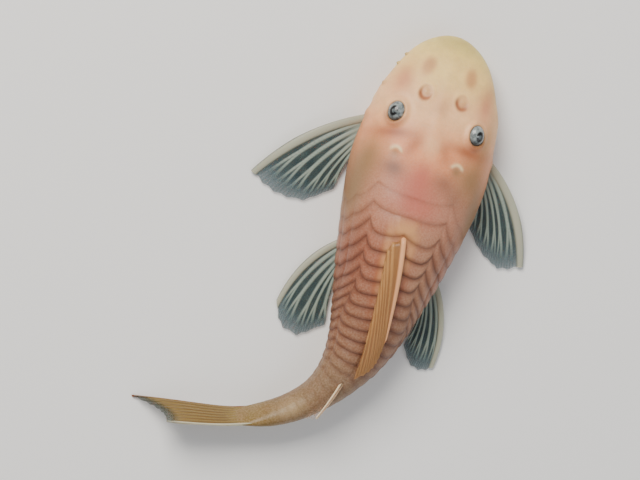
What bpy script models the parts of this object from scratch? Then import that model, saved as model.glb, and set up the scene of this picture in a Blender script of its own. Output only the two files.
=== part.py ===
"""Bristlenose pleco, a life-size still model of a pale, blue-eyed female lying on its belly.

The head and trunk point along +Y and the tail bends to the animal's left, towards -X. +Z is up, and the
belly, lips and fin tips rest at Z = 0. All sizes below are millimetres, scaled by MM where a mesh is made.
"""

import math

import bpy
import numpy as np
from mathutils import Vector

MM = 0.001
GAP = 0.3  # clearance between neighbouring nodes

# The midline, as arc length behind the snout tip. The snout's place puts the origin under the box's centre.
SNOUT_X = 6.24
SNOUT_Y = 45.71
HEAD_TURN = math.radians(0.9)  # the head points a touch to the animal's left of the trunk
HEAD_TURN_END = (24.0, 54.0)
STANDARD_LENGTH = 90.0
FIN_END = 120.0
BEND_START = 54.0
BEND_END = 103.0
BEND_ANGLE = math.radians(78)
ROLL_START = 50.0
ROLL_END = 86.0
ROLL_ANGLE = math.radians(28)  # the bent tail leans its upper edge away from the bend

# The body's sections: arc length, half width, top, bottom, then the widest level as a share of the depth,
# and the squareness of the section above and below that level.
STATIONS = np.array((
    (0.0, 0.0, 3.3, 3.3, 0.30, 2.0, 2.0),
    (1.0, 3.8, 5.4, 2.35, 0.30, 2.1, 2.2),
    (4.0, 7.5, 7.8, 2.2, 0.30, 2.2, 2.6),
    (10.0, 10.8, 10.7, 2.2, 0.30, 2.3, 3.0),
    (17.0, 12.9, 13.3, 2.2, 0.30, 2.35, 3.2),
    (22.0, 13.6, 14.5, 0.0, 0.32, 2.3, 3.4),
    (28.0, 14.0, 15.4, -0.35, 0.34, 2.2, 3.5),
    (34.0, 13.5, 16.2, -0.35, 0.35, 2.1, 3.5),
    (42.0, 12.0, 16.7, -0.35, 0.36, 2.0, 3.4),
    (50.0, 10.3, 15.6, 0.0, 0.38, 2.0, 3.2),
    (58.0, 8.35, 13.8, 0.9, 0.41, 2.0, 2.8),
    (66.0, 6.3, 12.2, 2.0, 0.45, 2.0, 2.4),
    (72.0, 4.65, 11.1, 2.5, 0.48, 2.0, 2.2),
    (78.0, 3.3, 10.1, 2.4, 0.50, 2.0, 2.1),
    (84.0, 2.6, 9.2, 1.9, 0.50, 2.0, 2.0),
    (90.6, 1.7, 8.4, 1.2, 0.50, 2.0, 2.0),
))

# Bony plates: rows on each side from the back down, and the naked belly below them. The row edges are
# shares of the half girth, on the trunk and on the tail.
PLATE_ROWS = 5
POINTS_PER_ROW = 4
BELLY_POINTS = 4
TRUNK_ROW_EDGES = np.array((0.0, 0.22, 0.35, 0.46, 0.57, 0.66))
TAIL_ROW_EDGES = np.array((0.0, 0.38, 0.56, 0.71, 0.84, 0.94))
ROWS_CHANGE = (50.0, 64.0)  # arc lengths over which the trunk's rows turn into the tail's
PLATE_STEP = 0.34  # how far a plate's rear edge stands over the next plate
PLATE_FIRST = 33.5
PITCH_END = 2.05
PITCH_EXTRA = 1.9
PITCH_FADE = 6.0
STEP_LENGTH = 0.2

# Depth of a plate's rounded rear edge in shares of its pitch, on the trunk and on the tail. The rows below
# the top one also sweep back from its outer seam, by SWEEP pitches in all, and that dies out on the tail.
TOP_SCALLOP = (0.75, 0.40)
TOP_LOWEST = 0.6  # the place across the top row where its edge lies furthest back
RIDGE_LIFT = (0.45, 0.9)  # how much further forward that edge lies at the ridge
LOWER_SCALLOP = (0.16, 0.34)
ROW_SKEW = 1.2  # the lower rows' plates reach furthest back near their outer seam
SWEEP = 1.3
SWEPT_ROWS = 2.0
TAIL_FORM = (54.0, 70.0)  # arc lengths over which the trunk's edges turn into the tail's gentle waves
SHIELD_BULGE = 0.55  # the rear edge of the shields that cross the back ahead of the dorsal fin
SHIELD_DROOP = 0.4
SHIELDS_END = (-5.0, -1.0)  # from the dorsal fin's first root, where the shields give way to paired plates

DORSAL_ROOTS = (41.6, 59.5)  # arc lengths of the dorsal fin's first and last ray roots on the back

# Thin cuts between the body's nodes. The neck's cut leans back from the gills to the nape.
NECK_LOW = 19.4
NECK_SLOPE = 0.75
HEAD_RINGS = 17
NAPE_RINGS = 3
TRUNK_PLATES = 8
TAIL_BASE_PLATES = 6

# Head: eyes in their sockets, nostrils, the spines folded behind each cheek and two stubs of bristles. An arc
# is a distance behind the snout tip, and a share runs round the half girth from the ridge.
EYE_RADIUS = 2.45
EYE_ARC = 18.2
EYE_SHARE = 0.265
EYE_PROUD = 1.2
ORBIT_RIM = 0.5
ORBIT_CLEAR = 0.15  # the rim's middle lies this far outside the eyeball
RIM_SINK = 0.05
NOSTRIL_ARC = 12.8
NOSTRIL_SHARE = 0.135
NOSTRIL_RADIUS = 0.85
NOSTRIL_RIM = 0.32
NOSTRIL_CLEAR = 0.1
PIT_RISE = 0.15
CHEEK_ARC = 14.6
CHEEK_SHARES = (0.50, 0.57)
CHEEK_SPINES = 6
CHEEK_RADII = (0.3, 0.24, 0.08)
CHEEK_STEP = 0.5  # the lowest spine grows this far behind the uppermost
CHEEK_LENGTH = 1.5
CHEEK_EXTRA = 0.9  # the middle spines are up to this much longer
CHEEK_SWELL = (0.2, 0.8)
CHEEK_KNEE = 0.4  # share of the length where a spine bends back
CHEEK_LIFTS = (0.22, 0.4)
BRISTLE_ARCS = (6.4, 8.6)
BRISTLE_SHARE = 0.56
BRISTLE_LENGTH = 0.7
BRISTLE_RADII = (0.3, 0.24, 0.14)
ROOT_DEPTH = 0.5  # spines and bristles start this far under the skin

# Mouth disc under the head, from the snout tip back to its centre, with its jaws and corner barbels. The
# profile runs from its upper rim over the lip and into the hollow, as shares of the radius and heights.
MOUTH_BACK = 9.4
MOUTH_RADIUS = 7.0
MOUTH_TOP = 1.9
MOUTH_RECESS = 1.1
MOUTH_PROFILE = ((0.80, MOUTH_TOP), (0.93, 1.75), (1.0, 1.1), (0.985, 0.45), (0.93, 0.0), (0.80, 0.0),
                 (0.72, 0.35), (0.60, MOUTH_RECESS), (0.3, MOUTH_RECESS + 0.1))
MOUTH_WIDEN = 1.04
UPPER_LIP = 0.97
LOWER_LIP = 1.06
MOUTH_POINTS = 40
JAW_HALF = 2.6
JAW_BEND = 0.8
JAW_APART = 0.9
JAW_HEIGHT = 0.95
JAW_RADII = (0.25, 0.42, 0.5, 0.5, 0.5, 0.42, 0.25)
BARBEL_START = (0.93, -1.0, 0.75)  # share of the radius to the side, then ahead and up
BARBEL_PATH = ((0.0, 0.0, 0.0), (1.2, -0.9, -0.05), (1.9, -2.2, -0.2), (2.0, -3.8, -0.3))
BARBEL_RADII = (0.55, 0.5, 0.42, 0.2)

# Fins. The columns across a leading spine and across a branching ray are shares of the ray spacing.
FIN_ROWS = 7
SPINE_COLUMNS = (-0.42, -0.24, 0.0, 0.24)
RAY_COLUMNS = (-0.5, -0.24, 0.0, 0.24)
LAST_COLUMN = 0.4
SPINE_REACH = 0.45
RAY_REACH = 0.36
FORK_OFFSET = 0.24
FORK_REACH = 0.2
BRANCH_AT = 0.55  # share of the length where the rays start to fork
WEB_THINS = 0.4  # how much of its thickness the web, a ray and a spine lose from root to tip
RAY_THINS = 0.45
SPINE_THINS = 0.5

# Paired fins. pivot is the (right, back) point that the tips are measured from, hinge the back offsets of the
# first and last roots. angles and lengths run from the spine to the last ray, with a middle swell on the
# lengths, and heights are those of the spine's root, the last root and the tips.
PAIRED_FINS = {
    "pectoral_fin_left": {
        "side": -1, "pivot": (12.8, 24.2), "hinge": (-3.3, 3.6), "angles": (51.0, 9.0),
        "lengths": (22.9, 13.2, 1.6), "heights": (3.1, 2.2, 0.55), "count": 7, "bow": 1.7, "spine": 0.75},
    "pectoral_fin_right": {
        "side": 1, "pivot": (13.4, 24.6), "hinge": (-3.0, 3.4), "angles": (40.5, 7.0),
        "lengths": (20.3, 11.6, 2.2), "heights": (3.1, 2.2, 0.55), "count": 7, "bow": 2.1, "spine": 0.75},
    "pelvic_fin_left": {
        "side": -1, "pivot": (8.5, 48.8), "hinge": (-3.5, 3.2), "angles": (34.5, -2.0),
        "lengths": (16.4, 14.9, 3.2), "heights": (1.7, 1.3, 0.5), "count": 6, "bow": 2.0, "spine": 0.6},
    "pelvic_fin_right": {
        "side": 1, "pivot": (10.0, 50.2), "hinge": (-3.4, 3.0), "angles": (21.5, -3.0),
        "lengths": (15.8, 12.4, 1.9), "heights": (1.7, 1.3, 0.5), "count": 6, "bow": 2.0, "spine": 0.6},
}
PAIRED_WEB = {"web": 0.27, "ray": 0.3, "notch": 0.05, "grounded": True}
PAIRED_ARCH = 0.25
BOW_FADE = 0.75  # the last ray's bow is this much weaker than the spine's

# Dorsal fin, folded down: right and back of the spine's tip and of the last ray's tip, how the tips between
# them run, and how far right of the snout tip's line the folded base lies at the first and the last root. The
# spine alone stands on the ridge, right of the base.
DORSAL_COUNT = 8
DORSAL_TIPS = ((4.0, 62.6), (0.7, 70.0))
DORSAL_TIP_EASE = (1.5, 0.7)
DORSAL_BASE = (-2.0, 0.1)
DORSAL_SPINE_SHIFT = 2.7
DORSAL_SPINE_EASE = 12
DORSAL_CLEAR = 0.45
DORSAL_ARCH = 0.35
DORSAL_BOW = 0.25
DORSAL_SINK = (1.6, 1.4)  # how deep the web's root and every root dip, within these shares of the length
DORSAL_DIPS = (0.14, 0.08)
DORSAL_WEB_START = 0.3
DORSAL_WEB = {"count": DORSAL_COUNT, "web": 0.36, "ray": 0.2, "spine": 0.55, "notch": 0.02, "grounded": False}

ADIPOSE_ROOTS = (72.4, 79.0)
ADIPOSE_COUNT = 3
ADIPOSE_LENGTH = 9.2
ADIPOSE_RISE = 2.6
ADIPOSE_SINK = 0.8
ADIPOSE_SHRINK = (0.62, 0.55)  # how much shorter and lower the last ray is
ADIPOSE_BOW = 0.5
ADIPOSE_WEB = {"count": ADIPOSE_COUNT, "web": 0.27, "ray": 0.0, "spine": 0.32, "notch": 0.0,
               "grounded": False}

ANAL_ROOTS = (62.5, 66.5)
ANAL_COUNT = 5
ANAL_LENGTHS = (7.6, 6.4, 1.4)
ANAL_SINK = 0.6
ANAL_SPREAD = (2.6, 0.2)
ANAL_LEVEL = 0.5
ANAL_BOW = -0.25
ANAL_WEB = {"count": ANAL_COUNT, "web": 0.27, "ray": 0.18, "spine": 0.25, "notch": 0.03, "grounded": True}

CAUDAL_COUNT = 12
CAUDAL_ROOT_HALF = 3.2
CAUDAL_TIP_HALF = 4.4
CAUDAL_LOWER = 25.2
CAUDAL_UPPER = 18.2
CAUDAL_HOLLOW = 2.2
CAUDAL_SCALLOP = 0.03
CAUDAL_LEVEL = 4.8
CAUDAL_DROP = 0.6  # the fin sinks this far, so that its lower lobe rests on the floor
CAUDAL_SINK = 1.0
CAUDAL_WEB = {"count": CAUDAL_COUNT, "web": 0.27, "ray": 0.26, "spine": 0.5, "notch": 0.0, "grounded": True}

SHARP_ANGLE = math.radians(40)
SKIN = (0.66, 0.40, 0.29, 1.0)
SNOUT_SKIN = (0.72, 0.55, 0.33, 1.0)
FIN_YELLOW = (0.62, 0.40, 0.16, 1.0)
FIN_CLEAR = (0.55, 0.58, 0.53, 1.0)
EYE_BLUE = (0.20, 0.25, 0.29, 1.0)
LIP_PINK = (0.66, 0.42, 0.34, 1.0)


def smooth(t):
    """Eases from 0 to 1 as t goes from 0 to 1."""
    t = np.clip(t, 0.0, 1.0)
    return t * t * (3 - 2 * t)


def between(ends, u):
    """The value a share u of the way between two ends."""
    return ends[0] + (ends[1] - ends[0]) * u


def hermite(x, xs, ys):
    """A smooth curve through the points of xs and ys, read at x."""
    slopes = np.gradient(ys, xs, axis=0)
    i = int(np.clip(np.searchsorted(xs, x) - 1, 0, len(xs) - 2))
    h = xs[i + 1] - xs[i]
    t = np.clip((x - xs[i]) / h, 0.0, 1.0)
    return ((1 + 2 * t) * (1 - t) ** 2 * ys[i] + t * (1 - t) ** 2 * h * slopes[i]
            + t * t * (3 - 2 * t) * ys[i + 1] + t * t * (t - 1) * h * slopes[i + 1])


def heading(s):
    """The midline's turn towards the animal's left at arc length s, looking back along the body."""
    bend = BEND_ANGLE * smooth((s - BEND_START) / (BEND_END - BEND_START))
    return bend - HEAD_TURN * (1 - smooth((s - HEAD_TURN_END[0]) / (HEAD_TURN_END[1] - HEAD_TURN_END[0])))


def traced_midline(step=0.1):
    """Arc lengths and plan points of the midline, from the snout tip to past the tail fin."""
    lengths = np.arange(0.0, FIN_END + step, step)
    turn = heading(lengths)
    moves = np.stack([-np.sin(turn), -np.cos(turn)], axis=1) * step
    points = np.array((SNOUT_X, SNOUT_Y)) + np.vstack([np.zeros(2), np.cumsum(moves[:-1], axis=0)])
    return lengths, points


MIDLINE_LENGTHS, MIDLINE_POINTS = traced_midline()


def midline(s):
    """The midline's plan point at arc length s, with the unit vectors back along it and to its right."""
    turn = float(heading(s))
    point = np.array([np.interp(s, MIDLINE_LENGTHS, MIDLINE_POINTS[:, k]) for k in (0, 1)])
    return point, np.array((-math.sin(turn), -math.cos(turn))), np.array((math.cos(turn), -math.sin(turn)))


def roll(s):
    return ROLL_ANGLE * float(smooth((s - ROLL_START) / (ROLL_END - ROLL_START)))


def station(s, swell=0.0):
    """Half width, top, bottom, widest level and squarenesses of the section at s, grown by swell."""
    arcs = np.sqrt(STATIONS[:, 0])
    half, top, bottom, share, upper, lower = hermite(math.sqrt(max(s, 0.0)), arcs, STATIONS[:, 1:])
    widest = bottom + share * (top - bottom)
    return half + swell, top + swell, bottom - swell, widest, upper, lower


def girth(s, swell=0.0, points=81):
    """The right half of the section at s, from the back's ridge down to the belly line."""
    half, top, bottom, widest, upper, lower = station(s, swell)
    angle = np.linspace(math.pi / 2, -math.pi / 2, points)
    rise = np.sin(angle)
    power = np.where(rise >= 0, 2 / upper, 2 / lower)
    out = half * np.abs(np.cos(angle)) ** power
    out[0] = out[-1] = 0.0
    up = np.where(rise >= 0, top - widest, bottom - widest) * np.abs(rise) ** power
    return out, up + widest


def skin_point(s, share, side, lift=0.0, swell=0.0):
    """A point of the body's surface.

    s is the arc length, share runs from 0 at the back's ridge to 1 at the belly line, side is 1 for the right
    and -1 for the left, and lift raises the point off the smooth surface.
    """
    out, up = girth(s, swell)
    run = np.concatenate([[0.0], np.cumsum(np.hypot(np.diff(out), np.diff(up)))])
    at = share * run[-1]
    step = 0.02 * run[-1]
    here = np.array((np.interp(at, run, out), np.interp(at, run, up)))
    ahead = np.array((np.interp(at + step, run, out), np.interp(at + step, run, up)))
    behind = np.array((np.interp(at - step, run, out), np.interp(at - step, run, up)))
    along = (ahead - behind) / max(np.hypot(*(ahead - behind)), 1e-9)
    normal = np.array((-along[1], along[0]))
    if share <= 0.0 or share >= 1.0:
        normal = np.array((0.0, 1.0 if share <= 0.0 else -1.0))
    here = here + lift * normal
    _, top, bottom, _, _, _ = station(s, swell)
    centre = (top + bottom) / 2
    lean = roll(s)
    across = side * here[0]
    above = here[1] - centre
    point, _, right = midline(s)
    plan = point + right * (across * math.cos(lean) + above * math.sin(lean))
    height = centre - across * math.sin(lean) + above * math.cos(lean)
    return np.array((plan[0], plan[1], max(height, -swell)))


def columns():
    """The surface's columns on one side, from the ridge to the belly line: row and place within it."""
    found = [(row, step / POINTS_PER_ROW) for row in range(PLATE_ROWS) for step in range(POINTS_PER_ROW)]
    return found + [(PLATE_ROWS, step / BELLY_POINTS) for step in range(BELLY_POINTS + 1)]


def girth_share(s, row, place):
    """How far round the half girth a column runs at arc length s."""
    change = float(smooth((s - ROWS_CHANGE[0]) / (ROWS_CHANGE[1] - ROWS_CHANGE[0])))
    edges = np.append(TRUNK_ROW_EDGES * (1 - change) + TAIL_ROW_EDGES * change, 1.0)
    return float(edges[row] + (edges[row + 1] - edges[row]) * place)


def tail_form(s):
    """0 where the plates' edges have the trunk's form and 1 where they have the tail's."""
    return float(smooth((s - TAIL_FORM[0]) / (TAIL_FORM[1] - TAIL_FORM[0])))


def rear_edge(row, place, s):
    """A plate's rounded rear edge across its row, from 0 to 1 where it reaches furthest back.

    Ahead of the dorsal fin the top row's plates are single shields that cross the back. Beside the fin each
    one is nearly flat towards the ridge and steep at its outer seam.
    """
    if row >= PLATE_ROWS:
        return 0.0
    if row > 0:
        return math.sin(math.pi * place ** ROW_SKEW)
    shield = SHIELD_BULGE - SHIELD_DROOP * place ** 3
    if place < TOP_LOWEST:
        beside = 1 - between(RIDGE_LIFT, tail_form(s)) * (1 - place / TOP_LOWEST) ** 2
    else:
        beside = 1 - ((place - TOP_LOWEST) / (1 - TOP_LOWEST)) ** 3
    start, end = SHIELDS_END
    return between((shield, beside), float(smooth((s - DORSAL_ROOTS[0] - start) / (end - start))))


def crest(index, row, place):
    """Arc length of a plate's rear edge at a column. A half number lies midway to the next edge."""
    whole = int(index)
    pitch = PITCH_END + PITCH_EXTRA * math.exp(-index / PITCH_FADE)
    base = PLATE_EDGES[whole] + (index - whole) * pitch
    tail = tail_form(base)
    top = between(TOP_SCALLOP, tail)
    if row == 0:
        return base + pitch * top * (rear_edge(0, place, base) - 0.5)
    aside = min((row + place - 1) / SWEPT_ROWS, 1.0)
    swept = SWEEP * (1 - (1 - aside) ** 2) * (1 - tail)
    lower = between(LOWER_SCALLOP, tail) * rear_edge(row, place, base)
    return base + pitch * (top * (rear_edge(0, 1.0, base) - 0.5) + swept + lower)


def ring(arc, lift, swell=0.0):
    """One closed ring of surface points. arc and lift give each column's arc length and height."""
    half = columns()
    points = []
    for side, cells in ((1, half), (-1, half[-2:0:-1])):
        for row, place in cells:
            s = arc(row, place)
            points.append(skin_point(s, girth_share(s, row, place), side, lift(row, place), swell))
    return points


def plate_edges():
    """Arc lengths of the plates' rear seams down the body."""
    edges = [PLATE_FIRST]
    while edges[-1] < STANDARD_LENGTH - PITCH_END:
        edges.append(edges[-1] + PITCH_END + PITCH_EXTRA * math.exp(-(len(edges) - 1) / PITCH_FADE))
    return edges


PLATE_EDGES = plate_edges()


def plate_rings(index, swell=0.0):
    """The two rings at a plate seam: the raised rear edges, then the sunk front of the next plates."""
    def raised(row, place):
        if row >= PLATE_ROWS:
            return 0.0
        return PLATE_STEP * (0.3 + 0.7 * rear_edge(row, place, PLATE_EDGES[index]))

    return [ring(lambda row, place: crest(index, row, place), raised, swell),
            ring(lambda row, place: crest(index, row, place) + STEP_LENGTH, lambda row, place: 0.0, swell)]


def cut_ring(index, behind=0.0):
    """The ring midway between the plate edges index and index + 1, where two nodes part."""
    return ring(lambda row, place: crest(index + 0.5, row, place) + behind, lambda row, place: 0.0)


def neck_arc(row, place, extra=0.0):
    """The neck cut's arc length at a column: the plane that leans back as it rises."""
    s = NECK_LOW
    for _ in range(8):
        s = NECK_LOW + NECK_SLOPE * skin_point(s, girth_share(s, row, place), 1)[2]
    return s + extra


def head_rings(swell=0.0):
    """Rings from the snout to the neck cut, closer together near the snout."""
    cuts = {cell: neck_arc(*cell) for cell in columns()}
    rings = []
    for t in np.linspace(0, 1, HEAD_RINGS + 1)[1:]:
        def arc(row, place, t=t):
            return cuts[(row, place)] * t * t
        rings.append(ring(arc, lambda row, place: 0.0, swell))
    return rings


def nape_rings(swell=0.0):
    """Rings from just behind the neck cut to the first plate seam."""
    cuts = {cell: neck_arc(*cell, extra=GAP) for cell in columns()}
    rings = []
    for t in np.linspace(0, 1, NAPE_RINGS + 2)[:-1]:
        def arc(row, place, t=t):
            return cuts[(row, place)] * (1 - t) + crest(0, row, place) * t
        rings.append(ring(arc, lambda row, place: 0.0, swell))
    return rings


def end_ring(s, swell=0.0):
    """A flat ring square to the midline at s."""
    return ring(lambda row, place: s, lambda row, place: 0.0, swell)


def new_mesh(name, points, triangles, colour):
    """A named object with its own material, from points in millimetres and triangles turned outwards."""
    corners = np.array(points, float)[np.array(triangles)]
    if np.linalg.det(corners).sum() < 0:
        triangles = [face[::-1] for face in triangles]
    mesh = bpy.data.meshes.new(name)
    mesh.from_pydata([tuple(float(c) * MM for c in p) for p in points], [], triangles)
    shade(mesh)
    item = bpy.data.objects.new(name, mesh)
    bpy.context.scene.collection.objects.link(item)
    mesh.materials.append(material(name, colour))
    return item


def shade(mesh):
    """Shades round forms smooth and keeps edges sharper than SHARP_ANGLE crisp."""
    mesh.update()
    mesh.shade_smooth()
    mesh.set_sharp_from_angle(angle=SHARP_ANGLE)


def material(name, colour, roughness=0.5):
    """A plain painted finish in the part's colour."""
    made = bpy.data.materials.new(name + "_paint")
    made.use_nodes = True
    shader = made.node_tree.nodes["Principled BSDF"]
    shader.inputs["Base Color"].default_value = colour
    shader.inputs["Roughness"].default_value = roughness
    shader.inputs["Metallic"].default_value = 0.0
    return made


def skinned(name, rings, colour, front=None, rear=None):
    """A closed solid through rings of equal count, fanned shut at a front and a rear point."""
    count = len(rings[0])
    points = [p for one in rings for p in one]
    middle = np.mean(rings[0], axis=0) if front is None else front
    end = np.mean(rings[-1], axis=0) if rear is None else rear
    points += [middle, end]
    faces = []
    for i in range(len(rings) - 1):
        for j in range(count):
            a, b = i * count + j, i * count + (j + 1) % count
            faces += [(a, b, b + count), (a, b + count, a + count)]
    last = (len(rings) - 1) * count
    for j in range(count):
        faces.append((j, len(points) - 2, (j + 1) % count))
        faces.append((last + (j + 1) % count, len(points) - 1, last + j))
    return new_mesh(name, points, faces, colour)


def combine(base, others, operation):
    """Joins or cuts base with other closed meshes, which are then removed."""
    group = bpy.data.collections.new(base.name + "_tools")
    bpy.context.scene.collection.children.link(group)
    for other in others:
        bpy.context.scene.collection.objects.unlink(other)
        group.objects.link(other)
    modifier = base.modifiers.new("shape", "BOOLEAN")
    modifier.operation = operation
    modifier.operand_type = "COLLECTION"
    modifier.collection = group
    modifier.solver = "EXACT"
    graph = bpy.context.evaluated_depsgraph_get()
    mesh = bpy.data.meshes.new_from_object(base.evaluated_get(graph))
    base.modifiers.clear()
    base.data = mesh
    for other in others:
        bpy.data.objects.remove(other)
    bpy.data.collections.remove(group)
    keep_largest(base)
    return base


def keep_largest(item):
    """Drops every loose surface of the object but the largest."""
    mesh = item.data
    group = list(range(len(mesh.vertices)))

    def root(v):
        while group[v] != v:
            group[v] = group[group[v]]
            v = group[v]
        return v

    for edge in mesh.edges:
        a, b = (root(v) for v in edge.vertices)
        group[a] = b
    sizes = {}
    for face in mesh.polygons:
        key = root(face.vertices[0])
        sizes[key] = sizes.get(key, 0) + face.area
    best = max(sizes, key=sizes.get)
    kept = [tuple(f.vertices) for f in mesh.polygons if root(f.vertices[0]) == best]
    used = sorted({v for f in kept for v in f})
    place = {v: i for i, v in enumerate(used)}
    fresh = bpy.data.meshes.new(item.name)
    fresh.from_pydata([mesh.vertices[v].co[:] for v in used], [], [[place[v] for v in f] for f in kept])
    for slot in mesh.materials:
        fresh.materials.append(slot)
    shade(fresh)
    item.data = fresh


def body_cutter(name):
    """The whole body grown by the gap, which trims each fin's root to the surface it grows from."""
    rings = head_rings(GAP) + nape_rings(GAP)[1:]
    for index in range(len(PLATE_EDGES)):
        rings += plate_rings(index, GAP)
    rings.append(end_ring(STATIONS[-1, 0] + GAP, GAP))
    tip = skin_point(0.0, 0.5, 1) + np.array((0.0, GAP, 0.0))
    return skinned(name, rings, SKIN, front=tip)


def sphere(name, centre, radius, colour, across=16, along=9):
    """A closed ball of radius about centre."""
    points = [np.array((0.0, 0.0, radius))]
    for i in range(1, along):
        reach = radius * math.sin(math.pi * i / along)
        height = radius * math.cos(math.pi * i / along)
        for j in range(across):
            turn = 2 * math.pi * j / across
            points.append(np.array((reach * math.cos(turn), reach * math.sin(turn), height)))
    points.append(np.array((0.0, 0.0, -radius)))
    faces = []
    for j in range(across):
        k = (j + 1) % across
        faces.append((0, 1 + j, 1 + k))
        faces.append((len(points) - 1, len(points) - 1 - across + k, len(points) - 1 - across + j))
        for i in range(along - 2):
            a, b = 1 + i * across + j, 1 + i * across + k
            faces += [(a, a + across, b + across), (a, b + across, b)]
    return new_mesh(name, [p + centre for p in points], faces, colour)


def torus(name, centre, normal, radius, tube, colour, around=16, sides=6):
    """A closed ring of round section about centre, square to normal."""
    spin = Vector((0, 0, 1)).rotation_difference(Vector(normal)).to_matrix()
    points, faces = [], []
    for i in range(around):
        turn = 2 * math.pi * i / around
        for j in range(sides):
            tilt = 2 * math.pi * j / sides
            reach = radius + tube * math.cos(tilt)
            local = Vector((reach * math.cos(turn), reach * math.sin(turn), tube * math.sin(tilt)))
            points.append(np.array(spin @ local) + centre)
            a, b = i * sides + j, i * sides + (j + 1) % sides
            c, d = (a + sides) % (around * sides), (b + sides) % (around * sides)
            faces += [(a, c, d), (a, d, b)]
    return new_mesh(name, points, faces, colour)


def tapered(name, path, radii, colour, sides=5):
    """A closed tube along path whose radius follows radii, with pointed ends fanned shut."""
    path = [Vector(p) for p in path]
    rings = []
    for i, point in enumerate(path):
        ahead = path[min(i + 1, len(path) - 1)] - path[max(i - 1, 0)]
        frame = Vector((0, 0, 1)).rotation_difference(ahead.normalized()).to_matrix()
        rings.append([np.array(point + frame @ (Vector((math.cos(a), math.sin(a), 0)) * radii[i]))
                      for a in -np.arange(sides) * 2 * math.pi / sides])
    return skinned(name, rings, colour)


def surface_frame(s, share, side):
    """A point on the smooth skin and its outward normal."""
    here = skin_point(s, share, side)
    out = skin_point(s, share, side, lift=0.5) - here
    return here, out / np.linalg.norm(out)


def ridge_height(point):
    """Height of the back's upper surface under a plan point, also beyond its sides."""
    gaps = np.hypot(MIDLINE_POINTS[:, 0] - point[0], MIDLINE_POINTS[:, 1] - point[1])
    s = float(MIDLINE_LENGTHS[int(np.argmin(gaps))])
    s = min(s, STATIONS[-1, 0])
    upper = columns()[:3 * POINTS_PER_ROW]
    profile = [skin_point(s, girth_share(s, row, place), side) for side in (-1, 1) for row, place in upper]
    middle, _, right = midline(s)
    across = np.array([np.dot(p[:2] - middle, right) for p in profile])
    order = np.argsort(across)
    heights = np.array([p[2] for p in profile])
    return float(np.interp(np.dot(np.array(point[:2]) - middle, right), across[order], heights[order]))


def plan(right, back, height):
    """A point by its distance right of and behind the snout tip."""
    return np.array((SNOUT_X + right, SNOUT_Y - back, height))


def ray_profile(r, v, fin):
    """Half thickness of a fin at ray number r and length share v.

    The rays are ridges on the web. They thin out and fork towards their tips.
    """
    nearest = max(0, min(fin["count"] - 1, round(r)))
    away = abs(r - nearest)
    web = fin["web"] * (1 - WEB_THINS * v)
    if nearest == 0:
        bulk = math.cos(min(1.0, away / SPINE_REACH) * math.pi / 2)
        return max(web * 0.8, web * 0.6 + fin["spine"] * (1 - SPINE_THINS * v) * bulk)
    split = float(smooth((v - BRANCH_AT) / (1 - BRANCH_AT)))
    single = max(0.0, 1 - away / RAY_REACH)
    forked = max(0.0, 1 - abs(away - FORK_OFFSET) / FORK_REACH)
    return web + fin["ray"] * (1 - RAY_THINS * v) * (single * (1 - split) + forked * split)


def fan_point(fin, r, v):
    """A point of the fin's middle sheet at ray number r and length share v."""
    low = int(np.clip(math.floor(r), 0, fin["count"] - 2))
    t = r - low
    root, tip, bow = (fin[key][low] * (1 - t) + fin[key][low + 1] * t for key in ("roots", "tips", "bows"))
    off_ray = 2 * abs(r - round(r)) if 0 <= r <= fin["count"] - 1 else 0.0
    reach = v * (1 - fin["notch"] * off_ray * v)
    return root + (tip - root) * reach + bow * 4 * reach * (1 - reach)


def fin_solid(name, fin, colour, shape=None):
    """A closed fin: two like faces either side of the middle sheet, split into triangles alike, and a rim."""
    rays = [k + c for k in range(1, fin["count"]) for c in RAY_COLUMNS]
    across = list(SPINE_COLUMNS) + rays + [fin["count"] - 1 + LAST_COLUMN]
    down = np.linspace(0, 1, FIN_ROWS)
    sheet = np.array([[fan_point(fin, r, v) for v in down] for r in across])
    if shape is not None:
        sheet = np.array([[shape(p, r, v) for p, v in zip(line, down)] for line, r in zip(sheet, across)])
    along_r = np.gradient(sheet, axis=0)
    along_v = np.gradient(sheet, axis=1)
    normal = np.cross(along_r, along_v)
    normal /= np.linalg.norm(normal, axis=2, keepdims=True)
    thick = np.array([[ray_profile(r, v, fin) for v in down] for r in across])[:, :, None]
    upper = sheet + normal * thick
    lower = sheet - normal * thick
    wide, tall = len(across), FIN_ROWS
    points = list(upper.reshape(-1, 3)) + list(lower.reshape(-1, 3))
    shift = wide * tall
    faces = []
    for i in range(wide - 1):
        for j in range(tall - 1):
            a, b, c, d = i * tall + j, (i + 1) * tall + j, (i + 1) * tall + j + 1, i * tall + j + 1
            faces += [(a, b, c), (a, c, d)]
            faces += [(a + shift, c + shift, b + shift), (a + shift, d + shift, c + shift)]
    rim = ([i * tall for i in range(wide)] + [(wide - 1) * tall + j for j in range(1, tall)]
           + [i * tall + tall - 1 for i in range(wide - 2, -1, -1)] + [j for j in range(tall - 2, 0, -1)])
    for k, a in enumerate(rim):
        b = rim[(k + 1) % len(rim)]
        faces += [(a, a + shift, b + shift), (a, b + shift, b)]
    points = [np.array((p[0], p[1], max(p[2], 0.0))) if fin["grounded"] else p for p in points]
    return new_mesh(name, points, faces, colour)


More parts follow.
